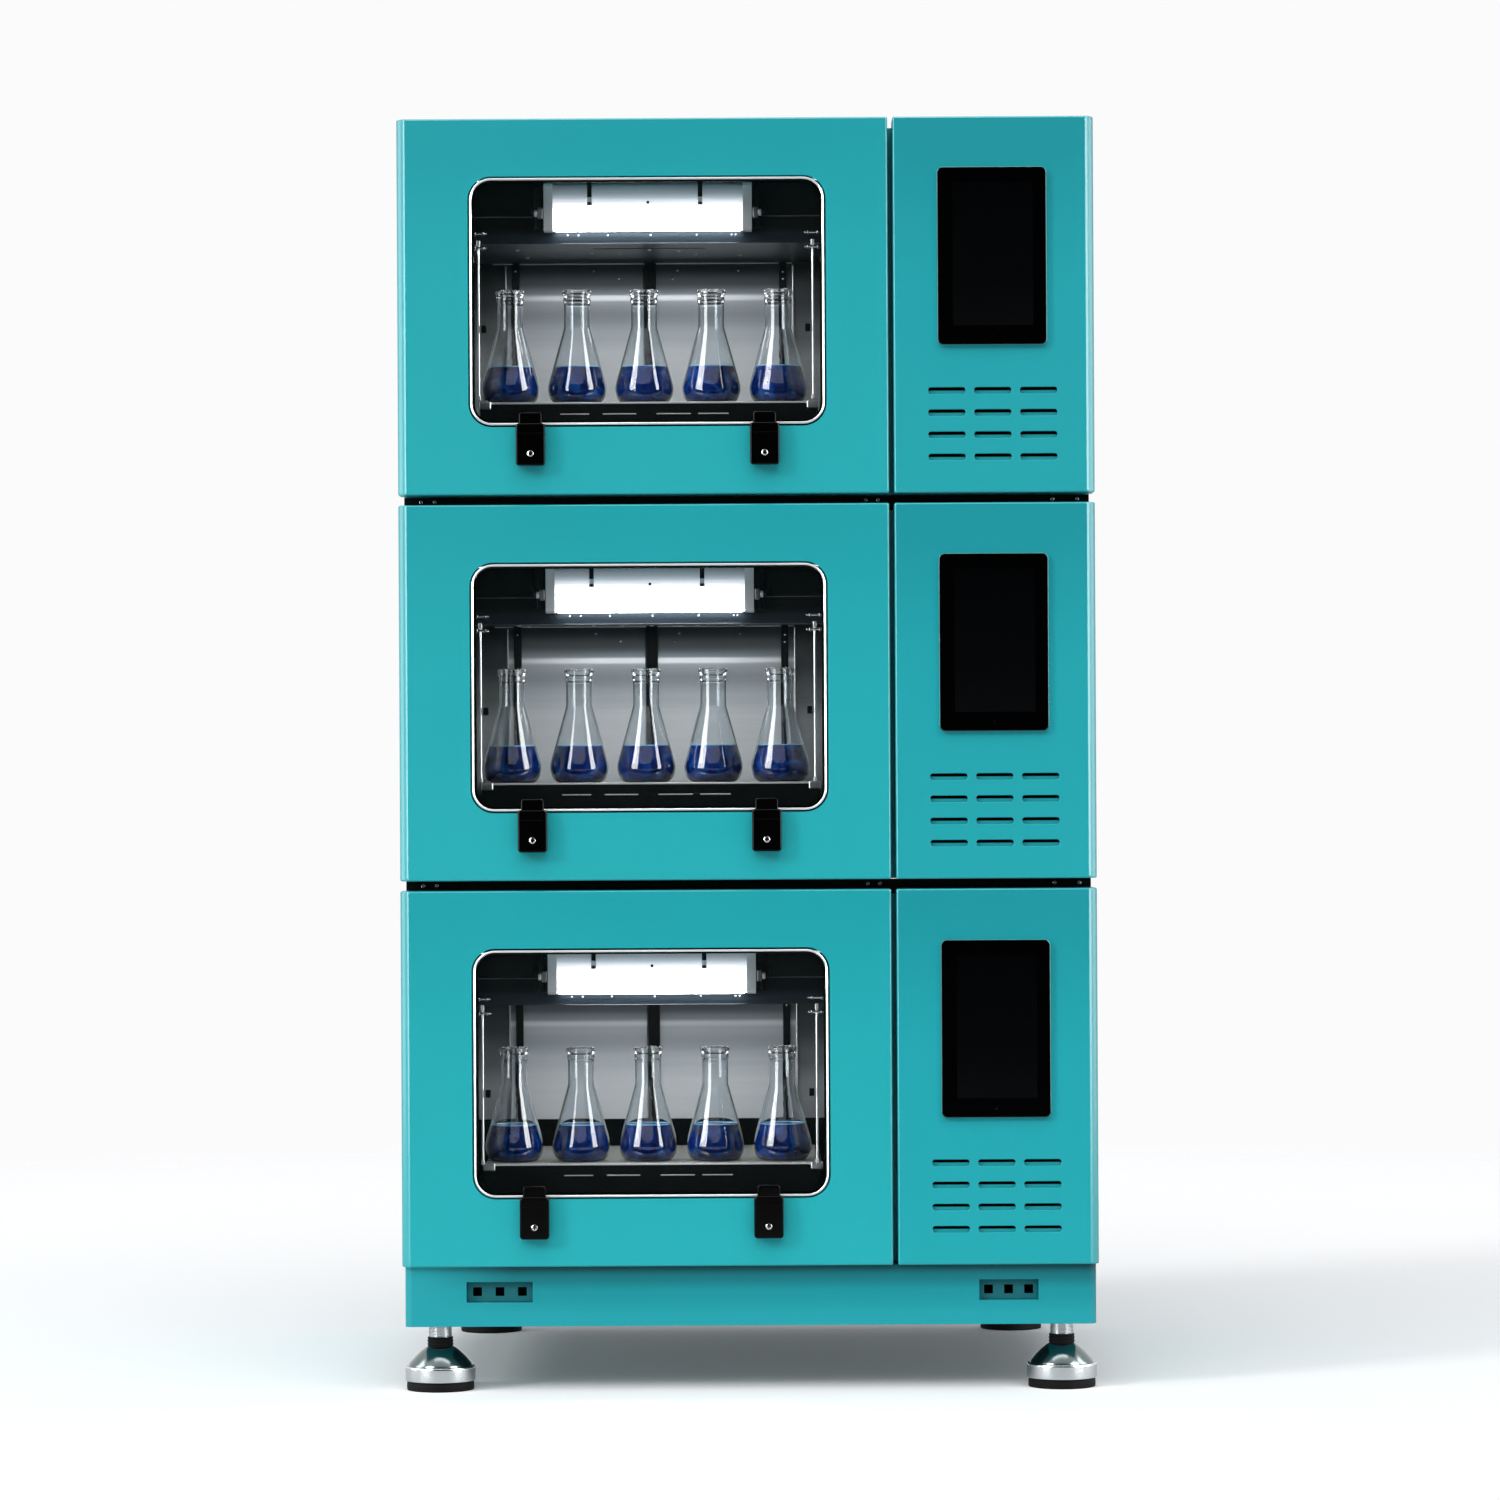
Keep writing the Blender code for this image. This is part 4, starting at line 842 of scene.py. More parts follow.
# %% [markdown]
# ## Window flap
# The pane is held in a slim bright frame with a rounded face, a groove for the glass and
# a pin at each upper corner to swing on. Two lugs on its lower edge carry the latches.
# Behind it, a matt lining finishes the cut edge of the door's opening.

# %% Window frame, lining and pane
latch_low, latch_high = solid("latch_lever_left")
frame_face = -0.002
frame_back = window_high.y
trim_width = 0.0052
lip_width = 0.0028
face_round = 0.0014
arc = [math.radians(angle) for angle in range(0, 91, 15)]
frame_profile = [(0.0, frame_back), (0.0, frame_face + face_round)]
frame_profile += [
    (face_round * (1 - math.cos(turn)), frame_face + face_round * (1 - math.sin(turn))) for turn in arc[1:]
]
frame_profile += [
    (lip_width - face_round * (1 - math.sin(turn)), frame_face + face_round * (1 - math.cos(turn)))
    for turn in arc
]
lip_bands = len(frame_profile) - 1
frame_profile += [
    (lip_width + 0.0001, 0.0004), (trim_width, 0.0011), (trim_width, 0.0017), (0.0035, 0.0017),
    (0.0035, 0.0083), (trim_width, 0.0083), (trim_width, frame_back),
]
frame_marks = [0] * (lip_bands + 1) + [1] * (len(frame_profile) - lip_bands - 1)
window_frame = loft(
    [window_loop(inset, depth) for inset, depth in frame_profile], closed=True, steps=10, marks=frame_marks
)
pin = joint_place("lower_window_lift")
latch_pins = [joint_place(f"lower_latch_{side}_lift") for side in ("left", "right")]
lug_half, lug_pin_half = 0.0052, 0.0112
frame_parts = [window_frame]
for edge, side in ((window_low.x, 1), (window_high.x, -1)):
    frame_parts.append(
        rod((edge + side * 0.020, pin.y, pin.z), (edge + side * 0.0042, pin.y, pin.z), 0.0014, 16)
    )
for x, y, z in latch_pins:
    frame_parts += [
        block((x - lug_half, y, z - 0.0033), (x + lug_half, frame_face + 0.001, z + 0.0033), 0.0006),
        rod((x - lug_half, y, z), (x + lug_half, y, z), 0.0034, 20),
        rod((x - lug_pin_half, y, z), (x + lug_pin_half, y, z), 0.0019, 20),
    ]
fit_each(
    "window_surround", joined(*frame_parts), ["polished trim", "latch black"],
    "{u}_window", ["window_frame"], 50,
)
lining = loft(
    [
        window_loop(reveal_inset + 0.0001, rebate_depth + 0.0003),
        window_loop(reveal_inset + 0.0005, rebate_depth + 0.0003),
        window_loop(reveal_inset + 0.0006, rebate_depth + 0.0006),
        window_loop(splay + 0.0006, door_depth - 0.0004),
        window_loop(splay + 0.0001, door_depth - 0.0004),
    ],
    closed=True, steps=10,
)
fit_each("opening_lining", lining, ["matt black"], "{u}_door", sharp=50)
seal_profile = (
    (-0.0016, rebate_depth - 0.0002), (-0.0016, rebate_depth - 0.0008), (0.0006, rebate_depth - 0.0012),
    (0.0042, rebate_depth - 0.0012), (0.0047, rebate_depth - 0.0008), (0.0047, rebate_depth - 0.0002),
)
seal = loft([window_loop(inset, depth) for inset, depth in seal_profile], closed=True, steps=10)
fit_each("flap_seal", seal, ["black rubber"], "{u}_door", sharp=60)


def dress(node_name, label, ease):
    """Gives a solid that stays its finish, and rounds its edges without touching its mesh."""
    obj = frame["nodes"][node_name]
    obj.data.materials.clear()
    obj.data.materials.append(finishes[label])
    merged = obj.modifiers.new("one skin", "WELD")
    merged.merge_threshold = 0.00002
    ease_edges(obj, ease)
    settle_shading(obj)


for unit in units:
    dress(f"{unit}_window_glass", "window pane", 0.0006)

# %% [markdown]
# ## Latches
# A glossy black lever hangs from each lug: a short tab hooks up over the frame, and the
# wider grip lies on the door with one bright screw at its foot. The lever is a lofted
# slab, the tab a narrower one, and its back is cut away so that it can swing up.

# %% Latches
latch_width = latch_high.x - latch_low.x + 0.0022
grip_top = window_low.z + 0.0015
keeper_z = window_low.z - 0.038


def lever(x, y, z):
    """A lever on the pin at x, y, z: the wide grip, the tab above it, its lip and a score line."""
    half, tab_half, front, back = latch_width / 2, 0.015, latch_low.y + 0.0006, latch_high.y
    grip_edge = (
        (0.0007, back), (0.0, back - 0.0007), (0.0, front + 0.0022), (0.0004, front + 0.0011),
        (0.0012, front + 0.0004), (0.0024, front),
    )
    tab_edge = (
        (0.0005, front + 0.0105), (0.0, front + 0.010), (0.0, front + 0.0034), (0.0003, front + 0.0024),
        (0.0010, front + 0.0018), (0.0020, front + 0.0015),
    )

    def slab(reach, low, high, radius, edge):
        return loft(
            [
                (x - reach + inset, x + reach - inset, low + inset, high - inset, radius - inset, depth)
                for inset, depth in edge
            ],
            steps=5,
        )

    def pin_room():
        return (
            block((x - 0.0061, front + 0.003, z - 0.008), (x + 0.0061, back + 0.004, latch_high.z + 0.004)),
            rod((x - 0.0122, y, z), (x + 0.0122, y, z), 0.0023),
        )

    keeper_hole = rod((x, -0.0082, keeper_z), (x, back + 0.004, keeper_z), 0.0062)
    grip = cut(slab(half, latch_low.z, grip_top, 0.0044, grip_edge), *pin_room(), keeper_hole)
    tab = cut(slab(tab_half, grip_top - 0.004, latch_high.z, 0.0036, tab_edge), *pin_room())
    lip_y, lip_z, lip_half = front + 0.0062, latch_high.z - 0.0028, tab_half - 0.003
    lip = rod((x - lip_half, lip_y, lip_z), (x + lip_half, lip_y, lip_z), 0.0026, 20, 0.0008)
    score_half = half - 0.0035
    score = block(
        (x - score_half, front - 0.0002, grip_top - 0.0135),
        (x + score_half, front + 0.0006, grip_top - 0.0127),
        0.0002, 1,
    )
    return joined(grip, tab, lip, score)


def screw_head(x, y, z, radius, proud):
    """A domed head with a cross recess, facing the viewer."""
    shoulder = [(radius, proud * 0.35), (radius * 0.82, proud * 0.8), (radius * 0.45, proud)]
    head = spun([(0, 0), (radius, 0), *shoulder, (0, proud)], (x, y, z), (0, -1, 0), 24)
    arm, thin = radius * 0.55, radius * 0.14
    outside, bottom = y - proud * 1.4, y - proud * 0.45
    arms = [
        block((x - wide, outside, z - tall), (x + wide, bottom, z + tall))
        for wide, tall in ((arm, thin), (thin, arm))
    ]
    return cut(head, *arms)


for side, latch_pin in zip(("left", "right"), latch_pins):
    fit_each(
        f"latch_{side}", lever(*latch_pin), ["latch black"], "{u}_latch_" + side,
        [f"latch_lever_{side}"], 50,
    )
    head = screw_head(latch_pin.x, latch_low.y + 0.0026, keeper_z, 0.0052, 0.0024)
    fit_each(f"latch_{side}_screw", head, ["turned steel"], "{u}_latch_" + side, sharp=40)
    keeper = spun(
        [(0, -0.0019), (0.0040, -0.0019), (0.0040, 0.0030), (0.0036, 0.0052), (0.0022, 0.0060), (0, 0.0060)],
        (latch_pin.x, 0, keeper_z), (0, -1, 0), 24,
    )
    fit_each(f"latch_{side}_keeper", keeper, ["turned steel"], "{u}_door", sharp=40)

# %% [markdown]
# ## Control fascia
# The fascia is a folded sheet: a face with twelve vent slots, sides turned back, and a
# soft chamfer on the right like the door's left one. It is a loft with a wall, and the
# slots and the screen's opening are cut through it. A live bevel eases every cut rim.

# %% Fascia
fascia_wall = 0.003
fascia_back = fascia_high.y
fascia_corners = Vector((fascia_low.x, 0, 0)), Vector((fascia_high.x, 0, unit_height))
outer = panel_loops(*fascia_corners, fascia_back, edge_round, side_round)
inner = []
for left, right, low, high, radius, depth in reversed(outer[2:]):
    inner.append(
        (
            max(left, fascia_low.x) + fascia_wall, min(right, fascia_high.x) - fascia_wall,
            fascia_wall + low * 0.4, unit_height - fascia_wall - (unit_height - high) * 0.4,
            radius, depth * 0.78 + fascia_wall,
        )
    )
inner.append(
    (
        fascia_low.x + fascia_wall, fascia_high.x - fascia_wall, fascia_wall, unit_height - fascia_wall,
        corner_round, fascia_back,
    )
)
shell = bmesh.new()
outer_loops = [rounded_loop(shell, *station) for station in outer[1:]]
inner_loops = [rounded_loop(shell, *station) for station in inner]
for row in (outer_loops, inner_loops):
    for one, other in zip(row, row[1:]):
        bmesh.ops.bridge_loops(shell, edges=one + other)
bmesh.ops.edgeloop_fill(shell, edges=outer_loops[-1])
bmesh.ops.edgeloop_fill(shell, edges=inner_loops[0])
bmesh.ops.bridge_loops(shell, edges=outer_loops[0] + inner_loops[-1])
bmesh.ops.recalc_face_normals(shell, faces=shell.faces)

screen_low, screen_high = solid("touch_screen")
vent_rows = [0.0461 + 0.0288 * row for row in range(4)]
vent_left, vent_right, vent_gap, vent_half = 0.0449, 0.0487, 0.0112, 0.00425
vent_room = (fascia_high.x - fascia_low.x) - vent_left - vent_right + vent_gap
vent_pitch = vent_room / 3
vent_width = vent_pitch - vent_gap
slots = []
for height in vent_rows:
    for column in range(3):
        left = fascia_low.x + vent_left + column * vent_pitch
        outline = (left, left + vent_width, height - vent_half, height + vent_half, 0.0035)
        slots.append(loft([(*outline, depth) for depth in (-0.004, fascia_wall + 0.004)], steps=5))
opening = block(
    (screen_low.x + 0.0097, -0.004, screen_low.z + 0.0097),
    (screen_high.x - 0.0097, fascia_wall + 0.004, screen_high.z - 0.0097),
)
fascia = mark_edges(cut(shell, joined(*slots), opening), fascia_low.x, fascia_high.x)
fit_each(
    "fascia", fascia, ["fascia enamel", "enamel on the edges"],
    "stack", ["control_fascia"], 40, 0.0008,
)
# A plate closes the slots from behind. Along the top of each slot lies a matt black strip: painted shadow,
# for the shade that falls into the slot.
baffle = [block((fascia_low.x + 0.020, 0.0050, 0.030), (fascia_high.x - 0.022, 0.0060, 0.146), 0.0003, 1)]
for height in vent_rows:
    slot_shadow_strip = block(
        (fascia_low.x + 0.030, 0.0040, height + 0.0004), (fascia_high.x - 0.030, 0.0052, height + 0.0070),
        0.0003, 1,
    )
    baffle.append(marked(slot_shadow_strip, 1))
fit_each("vent_baffle_and_slot_shadows", joined(*baffle), ["fascia enamel", "matt black"], "stack", sharp=50)

# %% [markdown]
# ## Touch screen
# A tablet stands proud of the fascia: a thin bright rim, a black glass border, a slightly
# paler picture area sunk by a hair, and a small sensor dot below it.

# %% Touch screen
wider_left, wider_right = 0.0012, 0.0014
screen_low.x -= wider_left
screen_high.x += wider_right
seat = -0.0003
face = screen_low.y
tablet_radius = 0.0082
tablet_profile = (
    (0.0, seat), (0.0, face + 0.0016), (0.0003, face + 0.0009), (0.0008, face + 0.0004),
    (0.0015, face + 0.0001), (0.0022, face),
)
tablet = [
    inset_loop(screen_low, screen_high, tablet_radius, inset, depth) for inset, depth in tablet_profile
]
picture = (screen_low.x + 0.0205, screen_high.x - 0.0180, screen_low.z + 0.0255, screen_high.z - 0.0205)
tablet += [(*picture, 0.0006, face), (*picture, 0.0006, face + 0.0002)]
screen = loft(tablet, steps=8, marks=(1, 1, 1, 0, 0, 0, 0, 1, 2))
housing = marked(
    block(
        (screen_low.x + 0.0102, -0.0002, screen_low.z + 0.0102),
        (screen_high.x - 0.0102, screen_high.y, screen_high.z - 0.0102),
        0.001, 1,
    ),
    3,
)
dot_outline = [(0, 0), (0.0016, 0), (0.0016, 0.00015), (0.0010, 0.0003), (0, 0.0003)]
dot_place = ((screen_low.x + screen_high.x) / 2, face, screen_low.z + 0.0125)
dot = marked(spun(dot_outline, dot_place, (0, -1, 0), 20), 2)
fit_each(
    "tablet", joined(screen, housing, dot),
    ["screen border", "screen rim", "screen picture area", "satin black"],
    "stack", ["touch_screen"], 40,
)

# %% [markdown]
# ## Small screw heads
# Thin sheet is held by low round screws, in the chamber and on the outside. Each is the
# same small outline, spun about the way it faces.


# %% Small screw heads
def dome(x, y, z, radius, axis):
    """A low round screw head."""
    rim, crown = (radius, radius * 0.2), (radius * 0.75, radius * 0.55)
    return spun([(0, 0), (radius, 0), rim, crown, (0, radius * 0.72)], (x, y, z), axis, 12)


# %% [markdown]
# ## Inside the chamber
# The chamber is lined in steel whose dark tone and bright mid-height band are painted shade and light.
# On its back wall two brushed sheets catch the lamp's real light, and carry painted light and a painted
# reflection of it, with a dark post between them and one at each side. They are plain folded sheet, so
# eased blocks do, set on the liner's own back wall.

# %% Chamber back wall
liner_low, liner_high = solid("chamber_liner")
liner_wall, wall_gap = 0.002, 0.002
back_y = liner_high.y - liner_wall - wall_gap
wall_top = plenum_low.z + 0.0076
wall_x = window_x - 0.005
wall_foot = 0.106
post_half = 0.0085
sheet_reach = 0.1975
sheets = []
for side in (-1, 1):
    inner_x, outer_x = wall_x + side * post_half, wall_x + side * sheet_reach
    sheets.append(block((inner_x, back_y - 0.0022, wall_foot), (outer_x, back_y - 0.0004, wall_top), 0.0007))
fit_each("back_sheets", joined(*sheets), ["back wall steel"], "stack")

posts = [
    block((wall_x - 0.0068, back_y - 0.0080, wall_foot), (wall_x + 0.0092, back_y - 0.0004, wall_top), 0.0010)
]
for side in (-1, 1):
    inner_x, outer_x = wall_x + side * 0.1795, wall_x + side * 0.1895
    posts.append(block((inner_x, back_y - 0.0120, wall_foot), (outer_x, back_y - 0.0004, wall_top), 0.0012))
fit_each("back_posts", joined(*posts), ["satin black"], "stack")

chamber_x = window_x - 0.003
rail_y, rail_foot, rail_top = 0.0720, 0.132, wall_top - 0.012
trim_y, trim_z = back_y - 0.0052, wall_top - 0.0012
trims = [rod((-0.3495, trim_y, trim_z), (0.0641, trim_y, trim_z), 0.0010, 12)]
for side in (-1, 1):
    x = wall_x + side * 0.1985
    trims.append(rod((x, back_y - 0.0040, wall_foot), (x, back_y - 0.0040, wall_top - 0.004), 0.0013, 12))
    x = chamber_x + side * 0.2195
    trims.append(rod((x, rail_y, rail_foot), (x, rail_y, rail_top), 0.0016, 12))
    for low_z, high_z in ((rail_foot - 0.004, rail_foot + 0.002), (rail_top - 0.002, rail_top + 0.006)):
        trims.append(
            block((x - 0.0022, rail_y - 0.0020, low_z), (x + 0.0022, rail_y + 0.0025, high_z), 0.0006)
        )
fit_each("chamber_trims", joined(*trims), ["polished trim"], "stack", sharp=50)

clips = []
for side in (-1, 1):
    x = chamber_x + side * 0.2125
    clips.append(block((x - 0.0034, rail_y - 0.0045, 0.2164), (x + 0.0034, rail_y + 0.0045, 0.2264), 0.0008))
    clips.append(rod((x, rail_y - 0.0060, 0.2214), (x, rail_y - 0.0030, 0.2214), 0.0018, 12))
fit_each("rail_clips", joined(*clips), ["satin black"], "stack", sharp=50)

sheet_studs = ((-0.2100, 0.3330), (-0.1754, 0.3222), (-0.0940, 0.3330), (-0.1006, 0.3215), (-0.0098, 0.3325))
post_studs = ((-0.3178, 0.3320), (0.0518, 0.3300), (0.0518, 0.3200))
studs = [
    dome(x, back_y - proud, z, 0.0019, (0, -1, 0))
    for proud, spots in ((0.0021, sheet_studs), (0.0121, post_studs)) for x, z in spots
]
fit_each("back_studs", joined(*studs), ["turned steel"], "stack", sharp=60)

# A dark band across the foot of the back wall, in the lower cabinet only.
dark_band = block((-0.3768, back_y - 0.0085, 0.086), (0.1208, back_y - 0.0028, 0.1635), 0.0010)
fit("lower_back_dark_band", raised(dark_band, 0), ["satin black"], "stack")

# %% [markdown]
# ## Plenum details
# Under the ceiling a bent sheet hides the fan. Its lower front edge shines as a thin
# line, small dome screws hold it, and a seam runs to each side of the lamp. At both ends
# of the window sit the brackets that the flap's stays bolt to.

# %% Plenum seams, screws and brackets
face_y = plenum_low.y
edge_y, edge_z = face_y - 0.0002, plenum_low.z + 0.0002
edge_trim = [rod((-0.2420, edge_y, edge_z), (-0.0078, edge_y, edge_z), 0.0005, 10)]
for start, end in ((-0.3750, -0.2790), (0.0230, 0.1190)):
    edge_trim.append(block((start, face_y - 0.0012, 0.3708), (end, face_y + 0.0001, 0.3720), 0.0003, 1))
fit_each("plenum_seams", joined(*edge_trim), ["motor casing"], "stack", sharp=50)

face_screws = (-0.234, -0.2195, -0.181, -0.1246, -0.064, -0.0178, -0.0125)
domes = [dome(x, face_y - 0.0001, 0.3470, 0.0014, (0, -1, 0)) for x in face_screws]
underside_rise = 0.008


def underside(y):
    """The height of the plenum's sloping underside."""
    return plenum_low.z + underside_rise * (y - face_y) / (plenum_high.y - face_y)


underside_screws = (
    (-0.3049, 0.193), (-0.2963, 0.325), (-0.2065, 0.2495), (-0.1678, 0.2715), (-0.1278, 0.1975),
    (-0.0889, 0.228), (-0.0679, 0.285), (-0.0071, 0.302),
)
for x, y in underside_screws:
    domes.append(dome(x, y, underside(y) - 0.0008, 0.0030, (0, 0, -1)))
fit_each("plenum_screws", joined(*domes), ["lamp end cap"], "stack", sharp=60)
guard = block((window_x - 0.075, 0.186, -0.0009), (window_x + 0.075, 0.328, -0.0003), 0.0002, 1)
for vert in guard.verts:
    vert.co.z += underside(vert.co.y)
fit_each("intake_guard", guard, ["plenum underside"], "stack", sharp=50)

brackets = []
stay_y = 0.0640
for side in (-1, 1):
    x = chamber_x + side * 0.2085
    out = window_x + side * 0.2480
    for height in (0.3270, 0.3460):
        low_x, high_x = sorted((x, out))
        brackets.append(rod((low_x, stay_y, height), (high_x, stay_y, height), 0.0016, 14, 0.0004))
        for share in (0.12, 0.42):
            spot = x + (out - x) * share
            nut = rod((spot - 0.0012, stay_y, height), (spot + 0.0012, stay_y, height), 0.0031, 6, 0.0004)
            brackets.append(nut)
    foot = (window_x + side * 0.2350, stay_y - 0.0040, 0.3200)
    brackets.append(block(foot, (out, stay_y + 0.0060, 0.3540), 0.0012))
fit_each("stay_brackets", joined(*brackets), ["turned steel"], "stack", sharp=50)

# %% [markdown]
# ## Lamp
# The lamp is a grey housing whose upper half fades into painted shade, with a painted glow low on it, over a
# glowing diffuser.
# The housing is one extruded section with a slim cap at each end. Two straps, a screw and
# a bracket behind each end hold it up, and a plug enters from each side.

# %% Lamp
cap = 0.0118
split = lamp_low.z + (lamp_high.z - lamp_low.z) * 0.53


def lamp_section(left, right, low, high, swell=0.0):
    """A length of lamp with a bowed face and round lower edge."""
    front, back = lamp_low.y + 0.0002 - swell, lamp_high.y - 0.0003
    body = block((left, front, low), (right, back, high))
    long_front = [
        edge for edge in body.edges
        if abs(edge.verts[0].co.y - front) < 1e-6 and abs(edge.verts[1].co.y - front) < 1e-6
        and abs(edge.verts[0].co.z - edge.verts[1].co.z) < 1e-6
    ]
    bmesh.ops.bevel(
        body, geom=long_front, offset=0.0058, segments=6, profile=0.5, affect="EDGES", material=-1,
    )
    return body


housing_part = lamp_section(lamp_low.x + cap, lamp_high.x - cap, lamp_low.z + 0.0012, lamp_high.z - 0.0004)
fit_each("lamp_housing", housing_part, ["lamp housing"], "stack", ["chamber_lamp"], 40)
glow_low = (lamp_low.x + cap + 0.0004, lamp_low.y - 0.0012, lamp_low.z + 0.0004)
glow_high = (lamp_high.x - cap - 0.0004, lamp_low.y + 0.0150, split)
fit_each(
    "lamp_diffuser", block(glow_low, glow_high, 0.0050, 5), ["lamp diffuser"], "stack",
    sharp=50,
)
caps = []
for left, right in ((lamp_low.x, lamp_low.x + cap), (lamp_high.x - cap, lamp_high.x)):
    caps.append(lamp_section(left, right, lamp_low.z, lamp_high.z, 0.0006))
fit_each("lamp_caps", joined(*caps), ["lamp end cap"], "stack", sharp=40)

lamp_face = lamp_low.y
tip_back = lamp_face + 0.0004
straps, tips = [], []
for x in (window_x - 0.0765, window_x + 0.0690):
    straps.append(
        block((x - 0.0030, lamp_face - 0.0016, 0.3940), (x + 0.0030, tip_back, lamp_high.z + 0.0040), 0.0006)
    )
    tips += [
        block((x - 0.0034, lamp_face - 0.0026, 0.3886), (x + 0.0034, tip_back, 0.3950), 0.0009),
        marked(block((x - 0.0033, lamp_face - 0.0024, 0.3838), (x + 0.0033, tip_back, 0.3887), 0.0009), 1),
        marked(screw_head(x, lamp_face - 0.0023, 0.3862, 0.0018, 0.0010), 2),
    ]
tips.append(marked(screw_head(window_x + 0.0004, lamp_face - 0.0012, 0.3878, 0.0020, 0.0012), 2))
fit_each("lamp_straps", joined(*straps), ["satin black"], "stack", sharp=50)
fit_each(
    "lamp_strap_tips", joined(*tips), ["lamp end cap", "motor casing", "satin black"], "stack",
    sharp=50
)

lamp_back = lamp_high.y - 0.0003
plug_z = 0.3742
lamp_brackets, plugs, leads = [], [], []
for end, side in ((lamp_low.x, -1), (lamp_high.x, 1)):
    lamp_brackets.append(
        block(
            (end + side * 0.0003, lamp_face + 0.0045, 0.3525), (end + side * 0.0135, lamp_back, 0.4130),
            0.0035,
        )
    )
    plug_low = (end + side * 0.0010, lamp_face - 0.0020, plug_z - 0.0075)
    plugs.append(block(plug_low, (end + side * 0.0085, lamp_face + 0.0040, plug_z + 0.0075), 0.0020))
    collar = [(end + side * out, lamp_face + 0.0010, plug_z) for out in (0.0085, 0.0125)]
    plugs.append(marked(rod(*collar, 0.0045, 20, 0.0008), 1))
    lead_start = (end + side * 0.0148, lamp_face + 0.0040, plug_z)
    leads.append(rod(lead_start, (end + side * 0.0190, lamp_back, plug_z + 0.012), 0.0017, 12))
fit_each("lamp_brackets", joined(*lamp_brackets), ["satin black"], "stack", sharp=50)
fit_each("lamp_plugs", joined(*plugs), ["motor casing", "lamp end cap"], "stack", sharp=50)
fit_each("lamp_leads", joined(*leads), ["cable black"], "stack", sharp=50)

# %% [markdown]
# ## Shaking platform
# The tray is a black casting with a bright strip along its upper front edge and short
# bright strips across its face. A ribbed grip mat covers it, and a light clamp closes each
# front corner. Its own drawn-in underside is kept from the solid.

# %% Platform
top = platform_high.z
front = platform_low.y
for unit in units:
    dress(f"{unit}_shaking_platform", "satin black", 0.0010)
strip_parts = [
    block(
        (platform_low.x + 0.003, front - 0.0012, top - 0.0016),
        (platform_high.x - 0.003, front + 0.0028, top + 0.0009), 0.0006,
    )
]
for start, end in ((-0.2450, -0.2070), (-0.1890, -0.1450), (-0.1180, -0.0730), (-0.0630, -0.0230)):
    strip_parts.append(
        block((start, front - 0.0008, top - 0.0155), (end, front + 0.0001, top - 0.0141), 0.0003, 1)
    )
fit_each(
    "platform_strips", joined(*strip_parts), ["polished trim"], "{u}_platform", sharp=50,
)
mat = block(
    (platform_low.x + 0.006, front + 0.0032, top + 0.0001),
    (platform_high.x - 0.006, platform_high.y - 0.004, top + 0.0011), 0.0004, 1,
)
fit_each("grip_mat", mat, ["grip mat"], "{u}_platform", sharp=50)
bolt_outline = [(0, 0), (0.0036, 0), (0.0036, 0.0016), (0.0030, 0.0022), (0, 0.0022)]
clamps = []
for edge, side in ((platform_low.x, 1), (platform_high.x, -1)):
    outer_x, inner_x = edge - side * 0.0010, edge + side * 0.0150
    clamps.append(
        block((outer_x, front - 0.0050, top - 0.0085), (inner_x, front + 0.012, top + 0.0019), 0.0018)
    )
    bolt_place = ((outer_x + inner_x) / 2, front + 0.005, top + 0.0018)
    clamps.append(spun(bolt_outline, bolt_place, (0, 0, 1), 6))
fit_each("corner_clamps", joined(*clamps), ["brushed steel"], "{u}_platform", sharp=40)

# %% [markdown]
# ## Flasks
# Five 250 mL conical flasks stand in a row. A flask is turned glass, so its wall is one
# closed outline, up the outside and down the inside, spun about its own axis. The liquid
# is spun from the inner outline, with a thin paler ring where it meets the glass.

# %% Flasks
flask_outer = [
    (0.0, 0.0), (0.0262, 0.0), (0.0305, 0.0012), (0.0345, 0.0048), (0.0372, 0.0100), (0.0386, 0.0160),
    (0.0389, 0.0200), (0.0384, 0.0245), (0.0362, 0.0330), (0.0328, 0.0440), (0.0286, 0.0585),
    (0.0238, 0.0750), (0.0197, 0.0890), (0.0182, 0.0944), (0.0177, 0.0962), (0.0173, 0.0980),
    (0.0172, 0.1080), (0.0172, 0.1250), (0.0175, 0.1290), (0.0183, 0.1315), (0.0184, 0.1332),
    (0.0178, 0.1348), (0.0182, 0.1370), (0.0192, 0.1395), (0.0197, 0.1415), (0.0196, 0.1432),
    (0.0188, 0.1446), (0.0178, 0.1450),
]
flask_inner = [
    (0.0168, 0.1446), (0.0160, 0.1430), (0.0159, 0.1380), (0.0159, 0.1250), (0.0159, 0.1080),
    (0.0160, 0.0976), (0.0165, 0.0956), (0.0184, 0.0886), (0.0225, 0.0745), (0.0273, 0.0580),
    (0.0315, 0.0430), (0.0349, 0.0326), (0.0371, 0.0242), (0.0376, 0.0200), (0.0373, 0.0162),
    (0.0360, 0.0107), (0.0335, 0.0060), (0.0298, 0.0028), (0.0262, 0.0018), (0.0, 0.0018),
]
stretch = 1.04
flask_outer, flask_inner = [
    [(radius, height * stretch) for radius, height in outline] for outline in (flask_outer, flask_inner)
]
level_height = 0.0480
level_radius = 0.0304
flask_spacing = 0.0889
row_x = window_x - 0.0068
row_y = front + 0.047
stand_z = top + 0.0013
wet = [(radius, height) for radius, height in reversed(flask_inner) if height < level_height]
fill = [(max(radius - 0.0002, 0.0), max(height, 0.0020)) for radius, height in wet]
fill += [
    (level_radius, level_height), (level_radius - 0.0014, level_height - 0.0006),
    (0.0, level_height - 0.0006),
]
